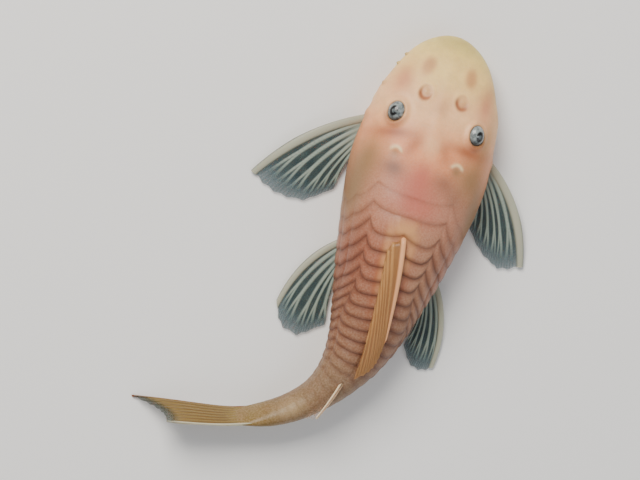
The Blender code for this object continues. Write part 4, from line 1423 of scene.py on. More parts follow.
    def build(self) -> bpy.types.Object:
        """Makes the skin, which replaces the four solids of flesh.

        Returns:
            The piece.
        """
        row, place, side = self.columns()
        arc, lift, gap = self.rings(row, place, side)
        row, place, side = (np.broadcast_to(line, arc.shape) for line in (row, place, side))
        share = self.plates.row_share(arc, row, place)
        bare = self.body.surface(arc, share, side)
        midline = self.body.midline
        across = ((bare[..., :2] - midline.point(arc)) * midline.right(arc)).sum(axis=-1)
        tints = {tint: np.zeros(arc.shape) for tint in Tint}
        tints[Tint.GAP] = self.gap_strength * gap * (1 - self.gap_fade * eased(arc, self.gap_fade_ends))
        for patch in PATCHES:
            tints[patch.tint] += patch.shade(across, arc) * eased(share, self.tinted_side)
        lift = lift * (1 - self.plate_fade * eased(arc, self.plate_fade_ends))
        lift = lift + self.head.relief(bare, arc, share, side, across, tints)
        lift = lift + self.belly_folds(arc, share)
        points = self.body.surface(arc, share, side, lift)
        ends = np.array((self.body.surface(0.0, 0.5, RIGHT), points[-1].mean(axis=0)))
        values = {tint.value: np.clip(line, 0, 1) for tint, line in tints.items()}
        values["along"] = np.minimum(arc / PAINTED_LENGTH, 1.0)
        values["belly"] = eased(share, self.belly_side) * eased(arc, self.belly_rear)
        flat = {key: np.concatenate([line.ravel(), line[0, :1], line[-1, :1]])
                for key, line in values.items()}
        draft = MeshDraft()
        draft.add(np.vstack([points.reshape(-1, 3), ends]), capped_faces(*arc.shape), **flat)
        piece = draft.make("skin", self.finish.build())
        return fit(piece, Slot.SKIN, "head", "trunk", "tail_base", "tail_stalk")

    def belly_folds(self, arc: Array, share: Array) -> Array:
        """The vent's low rim and a soft fold along either side of the naked belly.

        Args:
            arc: The points' arcs.
            share: Their shares.

        Returns:
            The lift of each point.
        """
        under = smooth((share - 0.7) / 0.06)
        vent = np.hypot(arc - self.vent_arc, (1 - share) * 16)
        return under * (swell(vent - 0.9, self.vent_rim) - swell(share - self.fold_share, self.fold))


@dataclass
class Fan:
    """The middle sheet of a fin: a root, a tip and a bow for each ray, blended across the web between."""

    roots: Array | list
    tips: Array | list
    bows: Array | list
    notch: float = 0.05
    laid: Callable[[Array, Array, Array], Array] | None = None

    def __post_init__(self) -> None:
        """Takes lists of points as well as arrays."""
        self.roots, self.tips, self.bows = (np.array(line) for line in (self.roots, self.tips, self.bows))

    def at(self, ray: Array, reach: Array) -> Array:
        """Points by ray number and by reach, from 0 at the root to 1 at the tip.

        Args:
            ray: The ray numbers.
            reach: The reaches.

        Returns:
            One x, y and z for each point.
        """
        ray, reach = np.broadcast_arrays(ray, reach)
        low = np.clip(np.floor(ray), 0, len(self.roots) - 2).astype(int)
        t = (ray - low)[..., None]
        lines = (self.roots, self.tips, self.bows)
        root, tip, bow = (line[low] * (1 - t) + line[low + 1] * t for line in lines)
        inside = (ray >= 0) & (ray <= len(self.roots) - 1)
        off_ray = 2 * np.abs(ray - np.round(ray)) * inside
        length = (reach * (1 - self.notch * off_ray * reach))[..., None]
        sheet = root + (tip - root) * length + bow * 4 * length * (1 - length)
        return sheet if self.laid is None else self.laid(sheet, ray, reach)


@dataclass
class Fin:
    """One fin: a thin web raised along its rays, which fork towards their tips, behind a stout spine."""

    name: str
    fan: Fan
    finish: FinFinish
    slot: Slot
    web: float = 0.09
    ray: float = 0.16
    ray_half: float = 0.4
    ray_shares: tuple[float, float] = (0.44, 0.2)
    spine: float = 0.6
    spine_half: float = 0.62
    spine_taper: float = 0.5
    last_spine: float = 0.0
    steps_per_ray: int = 18
    rows: int = 72
    forks: tuple[float, float] = (0.46, 0.74)
    fork_ends: tuple[float, float] = (0.94, 1.0)
    fork_slims: tuple[float, float] = (0.38, 0.24)
    fork_eases: tuple[float, float] = (0.2, 0.16)
    web_thins: float = 0.4
    bone_thins: float = 0.5
    least_pitch: float = 0.05
    frayed: float = 0.7
    edge: float = 0.3
    past_last: float = 0.3
    spare_steps: float = 0.1
    fleshy: float = 0.04
    joint_pitch: float = 0.55
    grounded: bool = True

    def ray_lines(self, ray: Array, reach: Array, pitch: Array, length: Array) -> dict[str, Array]:
        """Where the rays and the spine run over the sheet.

        Args:
            ray: The ray number of each point.
            reach: The reach of each point.
            pitch: The distance between rays at each point.
            length: The length of the nearest ray.

        Returns:
            The painted values, from 0 to 1, by name.
        """
        count = len(self.fan.roots)
        nearest = np.clip(np.round(ray), 0, count - 1)
        off = np.abs(ray - nearest)
        first, second = (eased(reach, ends) for ends in zip(self.forks, self.fork_ends))
        away = np.abs(np.abs(off - first / 4) - second / 8) * pitch
        half = np.minimum(self.ray_half, between(self.ray_shares, smooth(reach / 0.55)) * pitch)
        slim = 1.0
        for fork, share, ease in zip(self.forks, self.fork_slims, self.fork_eases):
            slim = slim - share * smooth((reach - fork) / ease)
        line = np.exp(-(away / (half * slim)) ** 4)
        line = np.maximum(line, 0.85 * smooth((self.fleshy - reach) / self.fleshy))
        line = np.where(nearest == 0, 0.0, line)
        spine = np.exp(-(np.abs(ray) * pitch / self.half_spine(reach)) ** 6)
        far = np.zeros(ray.shape)
        if self.last_spine:
            far = np.exp(-(np.abs(ray - count + 1) * pitch / (self.last_spine * (1 - 0.4 * reach))) ** 4)
        joint = 0.5 + 0.5 * np.cos(2 * math.pi * reach * length / self.joint_pitch)
        tip = eased(reach, (self.frayed, 1.0)) * (1 - 0.85 * spine)
        return {"ray": line, "spine": spine, "far": far, "tip": tip,
                "joint": joint ** 3 * line * smooth((reach - 0.25) / 0.2)}

    def half_spine(self, reach: Array) -> Array:
        """Half the width of the first spine, which tapers towards its tip."""
        return self.spine_half * (1 - self.spine_taper * reach ** 2)

    @staticmethod
    def pitches(ray: Array, sheet: Array) -> Array:
        """The distance between rays at each point of the sheet, square to the rays.

        Args:
            ray: The ray number of each point.
            sheet: The points.

        Returns:
            The distance at each point.
        """
        along = np.gradient(sheet, axis=0)
        outward = np.gradient(sheet, axis=1)
        cell = np.gradient(ray, axis=0)
        square = np.linalg.norm(np.cross(along, outward), axis=-1)
        return square / np.maximum(np.linalg.norm(outward, axis=-1) * cell, TINY)

    def build(self) -> bpy.types.Object:
        """Makes the fin, two like faces either side of its middle sheet with a closed rim.

        Returns:
            The piece.
        """
        count = len(self.fan.roots)
        end = count - 1 + self.past_last
        steps = round((self.edge + end + self.spare_steps) * self.steps_per_ray)
        across = np.linspace(-self.edge, end, steps + 1)[:, None]
        down = np.linspace(0, 1, self.rows)[None, :]
        ray, reach = np.broadcast_arrays(across, down)
        pitch = np.maximum(self.pitches(ray, self.fan.at(ray, reach)), self.least_pitch)
        reached = self.half_spine(reach)
        ray = np.where(ray < 0, ray * np.minimum(reached / (self.edge * pitch), 1.0), ray)
        sheet = self.fan.at(ray, reach)
        along = np.gradient(sheet, axis=0)
        outward = np.gradient(sheet, axis=1)
        length = np.linalg.norm(outward, axis=-1).sum(axis=1, keepdims=True)
        values = self.ray_lines(ray, reach, pitch, length)
        bone = 1 - self.bone_thins * reach
        thick = self.web * (1 - self.web_thins * reach) + self.ray * values["ray"] * bone
        rounded = np.sqrt(np.clip(1 - (ray * pitch / (reached * 1.1)) ** 2, 0, 1))
        thick = np.maximum(thick, self.spine * bone * rounded)
        aside = unit(np.cross(along, outward)) * thick[..., None]
        wide, tall = ray.shape
        quads = grid_faces(wide, tall, False)
        shift = wide * tall
        rim = ([i * tall for i in range(wide)] + [(wide - 1) * tall + j for j in range(1, tall)]
               + [i * tall + tall - 1 for i in range(wide - 2, -1, -1)] + list(range(tall - 2, 0, -1)))
        faces = quads.tolist() + (quads[:, ::-1] + shift).tolist()
        faces += [[rim[k - 1], rim[k - 1] + shift, rim[k] + shift, rim[k]] for k in range(len(rim))]
        points = np.concatenate([(sheet + aside).reshape(-1, 3), (sheet - aside).reshape(-1, 3)])
        if self.grounded:
            points[:, 2] = np.maximum(points[:, 2], 0.0)
        draft = MeshDraft()
        draft.add(points, faces, **{key: np.tile(line.ravel(), 2) for key, line in values.items()})
        return fit(draft.make(self.name, self.finish.build()), self.slot, self.name)


@dataclass
class PairedFin:
    """Where one pectoral or pelvic fin grows and how far its rays reach."""

    name: str
    side: int
    pivot: tuple[float, float]
    hinge: tuple[float, float]
    angles: tuple[float, float]
    lengths: tuple[float, float, float]
    heights: tuple[float, float, float]
    count: int
    bow: float
    arch: float = 0.25
    stray: float = 0.7
    bow_fade: float = 0.75
    notch: float = 0.015

    def fan(self, midline: Midline) -> Fan:
        """The fan of rays from the hinge beside the body.

        Args:
            midline: The body's midline, from whose snout tip the fin is set out.

        Returns:
            The fan.
        """
        rng = np.random.default_rng(SEED + len(self.name) + self.side)
        aside, behind = self.pivot
        roots, tips, bows = [], [], []
        for k in range(self.count):
            u = k / (self.count - 1)
            stray = rng.normal(0, self.stray) if 0 < k < self.count - 1 else 0.0
            angle = math.radians(between(self.angles, u) + stray)
            length = between(self.lengths, u) + self.lengths[2] * math.sin(math.pi * u)
            out, back = length * math.sin(angle), length * math.cos(angle)
            lean = np.array((self.side * math.cos(angle), math.sin(angle), 0.0))
            hinge = behind + between(self.hinge, u)
            roots.append(midline.from_snout(self.side * aside, hinge, between(self.heights, u)))
            tips.append(midline.from_snout(self.side * (aside + out), behind + back, self.heights[2]))
            bows.append(lean * self.bow * (1 - self.bow_fade * u) + np.array((0.0, 0.0, self.arch)))
        return Fan(roots, tips, bows, self.notch)


PAIRED_FINS = (
    PairedFin("pectoral_fin_left", LEFT, (12.8, 24.2), (-3.3, 3.6), (51.0, 9.0), (22.9, 13.2, 1.6),
              (3.1, 2.2, 0.55), 7, 1.7),
    PairedFin("pectoral_fin_right", RIGHT, (13.4, 24.6), (-3.0, 3.4), (40.5, 7.0), (20.3, 11.6, 2.2),
              (3.1, 2.2, 0.55), 7, 2.1),
    PairedFin("pelvic_fin_left", LEFT, (8.5, 48.8), (-3.5, 3.2), (34.5, -2.0), (16.4, 14.9, 3.2),
              (1.7, 1.3, 0.5), 6, 2.0),
    PairedFin("pelvic_fin_right", RIGHT, (10.0, 50.2), (-3.4, 3.0), (21.5, -3.0), (15.8, 12.4, 1.9),
              (1.7, 1.3, 0.5), 6, 2.0),
)


@dataclass
class Fins:
    """Every fin of the model."""

    body: BodyForm
    pale: FinFinish
    yellow: FinFinish
    ochre: FinFinish
    cream: FinFinish
    dorsal_count: int = 8
    dorsal_roots: tuple[float, float] = (41.6, 59.5)
    dorsal_tips: tuple[tuple[float, float], tuple[float, float]] = ((4.0, 62.6), (0.9, 71.2))
    dorsal_ease: tuple[float, float] = (3.0, 0.75)
    dorsal_base: tuple[float, float] = (-3.0, 0.2)
    dorsal_shift: tuple[float, float] = (3.7, 7)
    dorsal_clear: float = 1.09
    dorsal_arch: float = 0.35
    dorsal_rest: tuple[float, float] = (0.45, 1.0)
    dorsal_sinks: tuple[float, float] = (1.6, 1.4)
    dorsal_crowding: float = 1.6
    dorsal_passes: int = 6
    dorsal_bow: float = 0.25
    adipose_roots: tuple[float, float] = (72.4, 79.0)
    adipose_sunk: float = 0.8
    adipose_lengths: tuple[float, float] = (9.2, 3.496)
    adipose_rises: tuple[float, float] = (2.6, 1.17)
    adipose_bow: float = 0.5
    anal_count: int = 5
    anal_roots: tuple[float, float] = (62.5, 66.5)
    anal_sunk: float = 0.6
    anal_lengths: tuple[float, float, float] = (7.6, 6.4, 1.4)
    anal_aside: tuple[float, float] = (2.6, 0.2)
    anal_level: float = 0.5
    anal_bow: float = 0.25
    caudal_count: int = 16
    caudal_start: float = 90.6
    caudal_sunk: float = 1.0
    caudal_halves: tuple[float, float] = (3.2, 4.4)
    caudal_lengths: tuple[float, float] = (25.2, 18.2)
    caudal_hollow: float = 2.2
    caudal_level: float = 4.8
    caudal_drop: float = 0.6
    caudal_ripple: float = 0.1

    def build(self) -> None:
        """Makes all the fins."""
        for shape in PAIRED_FINS:
            spine, half = (0.7, 1.0) if "pectoral" in shape.name else (0.55, 0.75)
            Fin(shape.name, shape.fan(self.body.midline), self.pale, Slot.FIN_PALE, spine=spine,
                spine_half=half, spine_taper=0.35, edge=0.42, fleshy=0.26).build()
        for fin in (self.dorsal(), self.adipose(), self.anal(), self.caudal()):
            fin.build()

    def dorsal(self) -> Fin:
        """The dorsal fin, folded down and laid over under its spine.

        Returns:
            The fin.
        """
        u = np.linspace(0, 1, self.dorsal_count)
        shift, ease = self.dorsal_shift
        aside = between(self.dorsal_base, u) + shift * (1 - u) ** ease
        place = self.body.midline.from_snout
        back = between(self.dorsal_roots, u ** self.dorsal_crowding)
        roots = [place(a, b, 0.0) for a, b in zip(aside, back)]
        sideways, backwards = self.dorsal_ease
        first, last = self.dorsal_tips
        right = between((first[0], last[0]), u ** sideways)
        back = between((first[1], last[1]), u ** backwards)
        tips = [place(a, b, 0.0) for a, b in zip(right, back)]
        bows = [(self.dorsal_bow * (1 - t), 0.0, 0.0) for t in u]

        def laid(sheet: Array, ray: Array, reach: Array) -> Array:
            """Lays the sheet over the back, with its roots sunk into the skin.

            Args:
                sheet: The sheet's points in plan.
                ray: The ray number of each point.
                reach: The reach of each point.

            Returns:
                One x, y and z for each point.
            """
            clear = self.dorsal_clear + self.dorsal_arch * np.sin(math.pi * reach)
            clear = clear * between(self.dorsal_rest, smooth(reach / 0.3))
            web_sink, sink = self.dorsal_sinks
            sink = (web_sink * smooth(1 - reach / 0.07) * smooth((ray - 0.2) / 0.3)
                    + sink * smooth(1 - reach / 0.05))
            high = softened(self.body.ridge_height(sheet[..., :2]), self.dorsal_passes)
            return np.concatenate([sheet[..., :2], (high + clear - sink)[..., None]], axis=-1)

        return Fin("dorsal_fin", Fan(roots, tips, bows, 0.02, laid), self.ochre, Slot.FIN_YELLOW, web=0.16,
                   ray=0.1, ray_half=0.3, spine=0.5, spine_half=0.5, spine_taper=0.75, grounded=False,
                   frayed=0.97, steps_per_ray=12, rows=64)

    def adipose(self) -> Fin:
        """The adipose fin: a stiff spine raised off the tail's ridge, with its web behind.

        Returns:
            The fin.
        """
        body = self.body
        back = np.append(body.midline.back(np.array(self.adipose_roots[0])), 0.0)
        roots, tips, bows = [], [], []
        for u in (0.0, 0.5, 1.0):
            arc = between(self.adipose_roots, u)
            lifts = (-self.adipose_sunk, 0.0, 1.0)
            root, skin, above = (body.surface(arc, 0.0, RIGHT, lift) for lift in lifts)
            up = above - skin
            roots.append(root)
            tips.append(root + back * between(self.adipose_lengths, u) + up * between(self.adipose_rises, u))
            bows.append(up * self.adipose_bow * (1 - u))
        return Fin("adipose_fin", Fan(roots, tips, bows, 0.0), self.cream,
                   Slot.FIN_YELLOW, web=0.12, ray=0.0, ray_shares=(0.01, 0.01), spine=0.42, spine_half=0.42,
                   grounded=False, frayed=0.98, rows=40)

    def anal(self) -> Fin:
        """The anal fin, folded back flat under the tail.

        Returns:
            The fin.
        """
        body = self.body
        roots, tips, bows = [], [], []
        for u in np.linspace(0, 1, self.anal_count):
            arc = between(self.anal_roots, u)
            end = arc + between(self.anal_lengths, u) + self.anal_lengths[2] * math.sin(math.pi * u)
            plan = body.midline.point(end) + body.midline.right(end) * between(self.anal_aside, u)
            roots.append(body.surface(arc, 1.0, RIGHT, -self.anal_sunk))
            tips.append(np.append(plan, self.anal_level))
            bows.append(np.array((0.0, 0.0, -self.anal_bow)))
        return Fin("anal_fin", Fan(roots, tips, bows, 0.03), self.pale,
                   Slot.FIN_PALE, spine=0.25, spine_half=0.4, rows=40, steps_per_ray=12)

    def caudal(self) -> Fin:
        """The tail fin, half closed and leaning away from the bend, its lower lobe the longer.

        Returns:
            The fin.
        """
        start = self.caudal_start - self.caudal_sunk
        line = self.body.midline

        def placed(_: Array, ray: Array, reach: Array) -> Array:
            """Hangs the rays on the midline, which runs on past the body.

            Args:
                _: The sheet's points, not used.
                ray: The ray number of each point.
                reach: The reach of each point.

            Returns:
                One x, y and z for each point.
            """
            u = np.clip(ray / (self.caudal_count - 1), -0.05, 1.05)
            length = between(self.caudal_lengths, u) - self.caudal_hollow * np.sin(math.pi * np.clip(u, 0, 1))
            arc = start + (length + self.caudal_sunk) * reach
            height = (2 * u - 1) * between(self.caudal_halves, smooth(reach))
            lean = line.roll(arc)
            ripple = self.caudal_ripple * np.cos(math.pi * ray) * smooth(reach / 0.3)
            plan = line.point(arc) + line.right(arc) * (height * np.sin(lean) + ripple)[..., None]
            level = self.caudal_level - self.caudal_drop * reach ** 2 + height * np.cos(lean)
            return np.concatenate([plan, level[..., None]], axis=-1)

        zero = np.zeros((self.caudal_count, 3))
        return Fin("caudal_fin", Fan(zero, zero, zero, 0.0, placed), self.yellow, Slot.FIN_YELLOW, web=0.16,
                   ray=0.16, ray_half=0.3, spine=0.42, spine_half=0.42, last_spine=0.42, steps_per_ray=10,
                   rows=84, frayed=0.84, fleshy=0.42)


@dataclass
class Eye:
    """One glossy eyeball, with the iris lobe that hangs into its pupil."""

    head: HeadForm
    side: int
    finish: EyeFinish
    pupil_lean: float = 0.12
    pupil_back: float = -0.1
    pupil_radius: float = 1.0
    pupil_oval: float = 0.92
    pupil_soft: float = 0.16
    lobe_radius: float = 0.42
    lobe_slope: float = 2.4
    lobe_soft: float = 0.14
    around: int = 72
    along: int = 44

    def build(self) -> bpy.types.Object:
        """Makes the eyeball in its socket.

        Returns:
            The piece.
        """
        centre, out = self.head.eye_centre(self.side)
        radius = self.head.eye_radius
        outward = np.array((float(self.side), -self.pupil_back, 0.0))
        gaze = unit(out + outward * self.pupil_lean)
        spin = Vector((0, 0, 1)).rotation_difference(Vector(out)).to_matrix()
        tilt = np.linspace(0, math.pi, self.along + 1)[1:-1, None]
        turn = np.linspace(0, 2 * math.pi, self.around, endpoint=False)
        rings = np.broadcast_arrays(np.sin(tilt) * np.cos(turn), np.sin(tilt) * np.sin(turn), np.cos(tilt))
        ball = np.stack(rings, axis=-1).reshape(-1, 3)
        ball = np.vstack([ball, (0, 0, 1), (0, 0, -1)]) @ np.array(spin).T
        medial = unit(-outward - gaze * float(np.dot(-outward, gaze)))
        ahead = np.cross(gaze, medial)
        x, y = ball @ medial * radius, ball @ ahead * radius
        disc = smooth((self.pupil_radius - np.hypot(x, y * self.pupil_oval)) / self.pupil_soft + 0.5)
        lobe = np.minimum(np.hypot(x, y), np.where(x > 0, self.lobe_slope * np.abs(y), np.inf))
        hung = smooth((self.lobe_radius - lobe) / self.lobe_soft + 0.5)
        pupil = disc * (1 - hung) * (ball @ gaze > 0)
        # Painted shade: a ring where the ball sinks into its socket, and a broader shade along its rear side.
        rim = np.maximum(smooth((0.6 - ball @ out) / 0.16), 0.8 * smooth((-ball[:, 1] - 0.25) / 0.4))
        inward = unit(medial - out * float(medial @ out))
        narrowed = ball - np.outer(ball @ inward, inward) * (1 - self.head.eye_narrow)
        draft = MeshDraft()
        faces = capped_faces(self.along - 1, self.around)
        draft.add(narrowed * radius + centre, faces, pupil=pupil, rim=rim)
        name = "eye_right" if self.side > 0 else "eye_left"
        return fit(draft.make(name, self.finish.build()), Slot.EYE, name)


@dataclass
class MouthDisc:
    """The sucker mouth under the head, with its papillae, jaws, comb teeth and corner barbels."""

    midline: Midline
    finish: LipFinish
    back: float = 9.4
    radius: float = 7.0
    widen: float = 1.04
    stretches: tuple[float, float] = (1.06, 0.97)
    profile: tuple[tuple[float, float], ...] = (
        (0.0, 1.9), (0.80, 1.9), (0.93, 1.75), (1.0, 1.1), (0.985, 0.45), (0.93, 0.12), (0.86, 0.0),
        (0.78, 0.0), (0.70, 0.3), (0.60, 0.8), (0.45, 1.05), (0.0, 1.1))
    lip_edge: int = 3
    around: int = 144
    across: int = 60
    papilla_pitch: float = 0.62
    papilla: float = 0.22
    teeth: int = 34
    jaw_half: float = 2.6
    jaw_thick: float = 0.5
    jaw_points: int = 15
    jaw_levels: tuple[float, float] = (0.95, 0.75)
    jaw_ahead: tuple[float, float] = (0.9, 0.8)
    tooth_span: float = 0.86
    tooth_radii: tuple[float, float, float] = (0.055, 0.05, 0.03)

    def build(self) -> bpy.types.Object:
        """Makes the disc and all that it carries as one piece.

        Returns:
            The piece.
        """
        draft = MeshDraft()
        self.add_disc(draft)
        for front in (1, -1):
            self.add_jaw(draft, front)
        for side in SIDES:
            self.add_barbel(draft, side)
        return fit(draft.make("mouth_disc", self.finish.build()), Slot.LIPS, "mouth_disc")

    def add_disc(self, draft: MeshDraft) -> None:
        """Adds the lips, with papillae over their underside.

        Args:
            draft: The draft that they go into.
        """
        shape = np.array(self.profile)
        moves = np.diff(shape, axis=0) * (self.radius, 1)
        run = np.concatenate([[0.0], np.cumsum(np.hypot(*moves.T))])
        at = np.linspace(0, run[-1], self.across)[1:-1]
        share = np.interp(at, run, shape[:, 0])[:, None]
        level = np.interp(at, run, shape[:, 1])[:, None]
        under = smooth(at - run[self.lip_edge])[:, None]
        turn = np.linspace(0, 2 * math.pi, self.around, endpoint=False)
        stretch = np.where(np.sin(turn) < 0, *self.stretches)
        x = self.radius * self.widen * share * np.cos(turn)
        y = self.radius * share * np.sin(turn) * stretch
        bump = np.abs(np.sin(math.pi * x / self.papilla_pitch) * np.sin(math.pi * y / self.papilla_pitch))
        bump = bump ** 0.7 * under * smooth((share - 0.3) / 0.2)
        sunk = np.maximum(level + self.papilla * under * (1 - bump), 0.0)
        centre = self.midline.from_snout(0.0, self.back, 0.0)
        points = np.stack([x, y, sunk], axis=-1).reshape(-1, 3) + centre
        ends = centre + np.array(((0, 0, self.profile[0][1]), (0, 0, self.profile[-1][1])))
        raised = np.append((bump * 0.8).ravel(), (0, 0))
        draft.add(np.vstack([points, ends]), capped_faces(len(at), self.around), raised=raised)

    def add_jaw(self, draft: MeshDraft, front: int) -> None:
        """Adds one jaw and its row of fine, curved teeth with horn-brown tips.

        Args:
            draft: The draft that it goes into.
            front: 1 for the jaw in front and -1 for the one behind.
        """
        centre = self.midline.from_snout(0.0, self.back, 0.0)

        def along(x: float, height: float) -> Array:
            """A point of the jaw's curve."""
            least, bow = self.jaw_ahead
            return centre + np.array((x, front * (least + bow * (1 - (x / self.jaw_half) ** 2)), height))

        jaw_level, tooth_level = self.jaw_levels
        path = [along(x, jaw_level) for x in np.linspace(-self.jaw_half, self.jaw_half, self.jaw_points)]
        radii = self.jaw_thick * np.sin(np.linspace(0.25, math.pi - 0.25, self.jaw_points)) ** 0.6
        add_tube(draft, np.array(path), radii, 10)
        for x in np.linspace(-self.jaw_half, self.jaw_half, self.teeth) * self.tooth_span:
            root = along(x, tooth_level)
            bend = np.array((0.0, -front * 0.3, 0.0))
            tooth = [root, root + bend * 0.4 + (0, 0, -0.25), root + bend * 1.4 + (0, 0, -0.42)]
            add_tube(draft, np.array(tooth), np.array(self.tooth_radii), 5, horn=(0.0, 0.5, 1.0))

    def add_barbel(self, draft: MeshDraft, side: int) -> None:
        """Adds the barbel at one corner of the mouth.

        Args:
            draft: The draft that it goes into.
            side: The corner's side.
        """
        start = self.midline.from_snout(0.0, self.back, 0.0) + (side * self.radius * 0.93, -1.0, 0.75)
        steps = np.array(((0, 0, 0), (0.7, -0.4, 0), (1.2, -0.9, -0.05), (1.6, -1.5, -0.1), (1.9, -2.2, -0.2),
                          (2.0, -3.0, -0.26), (2.0, -3.8, -0.3)))
        add_tube(draft, start + steps * (side, 1, 1), np.linspace(0.56, 0.2, len(steps)), 12)


def add_tube(draft: MeshDraft, path: Array, radii: Array, sides: int, **values: tuple[float, ...]) -> None:
    """Adds a closed tube along a path.

    Args:
        draft: The draft that it goes into.
        path: The points of the tube's middle.
        radii: The radius at each of them.
        sides: The number of sides.
        values: Painted values by name, one for each point of the path.
    """
    ahead = unit(np.gradient(path, axis=0))
    helper = np.array((0.0, 0.0, 1.0)) if abs(ahead[0, 2]) < 0.9 else np.array((1.0, 0.0, 0.0))
    first = unit(np.cross(ahead, helper))
    second = np.cross(ahead, first)
    turn = np.linspace(0, 2 * math.pi, sides, endpoint=False)[None, :, None]
    out = first[:, None] * np.cos(turn) + second[:, None] * np.sin(turn)
    rings = path[:, None] + out * radii[:, None, None]
    ends = np.stack([path[0] - ahead[0] * radii[0] * 0.4, path[-1] + ahead[-1] * radii[-1] * 0.8])
    painted = {key: np.append(np.repeat(line, sides), (line[0], line[-1])) for key, line in values.items()}
    draft.add(np.vstack([rings.reshape(-1, 3), ends]), capped_faces(len(path), sides), **painted)


@dataclass
class HeadTrim:
    """The small hard parts of the head: both cheeks' spines and the stubs on the snout's left margin."""

    head: HeadForm
    finish: SkinFinish
    cheek_arc: float = 14.6
    cheek_share: float = 0.50
    cheek_spines: int = 14
    spine_radii: tuple[float, ...] = (0.17, 0.15, 0.11, 0.04)
    stubs: tuple[float, ...] = (6.4, 8.6)
    stub_share: float = 0.5
    stub_reaches: tuple[float, ...] = (-0.4, 0.1, 0.25, 0.38)
    stub_radii: tuple[float, ...] = (0.5, 0.42, 0.32, 0.18)

    def build(self) -> None:
        """Makes the cheek spines of both sides and the stubs."""
        for side, name in ((LEFT, "cheek_spines_left"), (RIGHT, "cheek_spines_right")):
            draft = MeshDraft()
            self.add_cheek(draft, side)
            fit(draft.make(name, self.finish.build()), Slot.SKIN)
        draft = MeshDraft()
        for arc in self.stubs:
            root, out = self.head.body.stand(arc, self.stub_share, LEFT)
            path = np.array([root + out * reach for reach in self.stub_reaches])
            add_tube(draft, path, np.array(self.stub_radii), 12, along=(0.05,) * 4,
                     olive=(0.3, 0.4, 0.5, 0.6))
        fit(draft.make("snout_stubs", self.finish.build()), Slot.SKIN)

    def add_cheek(self, draft: MeshDraft, side: int) -> None:
        """Adds the tuft of hooked spines folded back behind one cheek.

        Args:
            draft: The draft that it goes into.
            side: The cheek's side.
        """
        rng = np.random.default_rng(SEED + side)
        back = np.array((0.0, -1.0, 0.0))
        for k in range(self.cheek_spines):
            u = k / (self.cheek_spines - 1)
            arc = self.cheek_arc + 0.9 * u + rng.uniform(-0.3, 0.3)
            share = self.cheek_share + 0.08 * u + rng.uniform(-0.012, 0.012)
            root, out = self.head.body.stand(arc, share, side)
            length = 1.2 + 1.1 * math.sin(math.pi * (0.2 + 0.6 * u)) + rng.uniform(-0.2, 0.2)
            hook = ((-0.3, 0.0), (0.18, 0.25), (0.34, 0.6), (0.28, 1.0))
            path = np.array([root + out * rise + back * reach * length for rise, reach in hook])
            add_tube(draft, path, np.array(self.spine_radii), 7, along=(0.1,) * 4,
                     pale=(0.5, 0.5, 0.4, 0.1), warm=(0.0, 0.1, 0.3, 0.8))


@dataclass(frozen=True)
class Lamp:
    """A soft square light: where it hangs and its side in metres, and its power in watts."""

    name: str
    place: tuple[float, float, float]
    size: float
    power: float
    colour: tuple[float, float, float]


LAMPS = (
    Lamp("key", (-0.26, 0.32, 0.46), 0.36, 5.3, (1.0, 0.96, 0.90)),
    Lamp("fill", (0.36, -0.10, 0.36), 0.5, 0.85, (0.9, 0.95, 1.0)),
    Lamp("back", (-0.1, -0.42, 0.3), 0.4, 0.5, (1.0, 1.0, 1.0)),
)


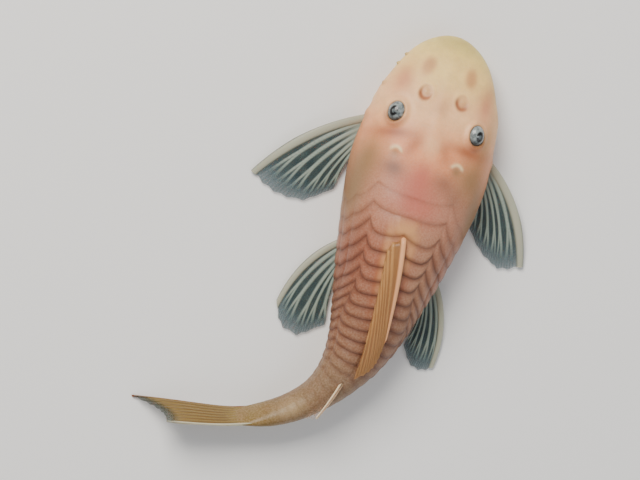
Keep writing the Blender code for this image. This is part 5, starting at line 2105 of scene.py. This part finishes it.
@dataclass
class Studio:
    """The plain pale floor, the soft lights and the camera, in metres but for the sensor's millimetres."""

    field_wide: float = 0.128
    aim: tuple[float, float] = (-0.00772, -0.00159)
    height: float = 0.906
    level: float = 0.005
    turn: float = math.radians(18.1)
    lean: float = math.radians(5.0)
    sensor: float = 36.0
    floor_half: float = 1.6
    floor_colour: Colour = (0.9, 0.89, 0.87, 1.0)
    floor_roughness: float = 0.75
    sky_colour: Colour = (0.92, 0.94, 1.0, 1.0)
    sky_strength: float = 0.24

    def build(self) -> None:
        """Makes the floor, the lights, the sky and the camera."""
        self.floor()
        for lamp in LAMPS:
            self.light(lamp)
        world = bpy.data.worlds.new("sky")
        world.use_nodes = True
        sky = world.node_tree.nodes["Background"]
        sky.inputs["Color"].default_value = self.sky_colour
        sky.inputs["Strength"].default_value = self.sky_strength
        bpy.context.scene.world = world
        self.camera()

    def floor(self) -> None:
        """A plain pale floor at Z = 0."""
        half = self.floor_half
        mesh = bpy.data.meshes.new("floor")
        corners = [(-half, -half, 0), (half, -half, 0), (half, half, 0), (-half, half, 0)]
        mesh.from_pydata(corners, [], [(0, 1, 2, 3)])
        paint_coat, _ = new_material("floor_paint", {"Base Color": self.floor_colour,
                                                     "Roughness": self.floor_roughness})
        mesh.materials.append(paint_coat)
        new_object("floor", mesh)

    def light(self, lamp: Lamp) -> None:
        """Hangs one light, aimed at the model.

        Args:
            lamp: The light.
        """
        data = bpy.data.lights.new(lamp.name, "AREA")
        data.size = lamp.size
        data.energy = lamp.power
        data.color = lamp.colour
        made = new_object(lamp.name, data)
        made.location = lamp.place
        aim = Vector((0, 0, self.level)) - Vector(lamp.place)
        made.rotation_euler = aim.to_track_quat("-Z", "Y").to_euler()

    def camera(self) -> None:
        """The camera, above the back and a few degrees over on the animal's left, at the photo's tilt."""
        reach = self.height - self.level
        lens = bpy.data.cameras.new("camera")
        lens.sensor_width = self.sensor
        lens.lens = self.sensor * reach / self.field_wide
        lens.clip_start = 0.01
        made = new_object("camera", lens)
        made.location = (self.aim[0] - reach * math.sin(self.lean), self.aim[1],
                         self.level + reach * math.cos(self.lean))
        turned = Matrix.Rotation(-self.lean, 3, "Y") @ Matrix.Rotation(self.turn, 3, "Z")
        made.rotation_euler = turned.to_euler()
        bpy.context.scene.camera = made


def main() -> None:
    """Builds the model's pieces in order."""
    logging.basicConfig(level=logging.INFO, format="%(name)s %(message)s")
    midline = Midline()
    body = BodyForm(midline)
    plates = Plates()
    head = HeadForm(body)
    skin = SkinFinish("skin_paint")
    Skin(body, plates, head, skin).build()
    HeadTrim(head, skin).build()
    eye = EyeFinish("eye_gloss", roughness=0.35, coat=0.8, coat_roughness=0.12, soft=0.0, mottle_scale=1300.0)
    for side in SIDES:
        Eye(head, side, eye).build()
    MouthDisc(midline, LipFinish("lip_skin", roughness=0.4)).build()
    pale = FinFinish("fin_pale")
    # The tail fin's dark tip colour is painted shade: the unlit dark seen through its thin, fraying tips.
    yellow = FinFinish("fin_yellow", ray=paint(134, 110, 50), web=paint(112, 84, 36),
                       spine=paint(134, 80, 40), far=paint(190, 186, 160), tip=paint(70, 78, 66),
                       web_alpha=0.95, tip_alpha=0.4)
    ochre = FinFinish("fin_ochre", ray=paint(180, 130, 78), web=paint(146, 99, 56),
                      spine=paint(236, 170, 120), tip=paint(150, 108, 66), web_alpha=1.0, tip_alpha=1.0)
    cream = FinFinish("fin_cream", ray=paint(190, 150, 120), web=paint(176, 136, 106),
                      spine=paint(240, 214, 176), tip=paint(214, 190, 156), web_alpha=0.06, tip_alpha=0.8)
    Fins(body, pale, yellow, ochre, cream).build()
    Studio().build()


if __name__ == "__main__":
    main()
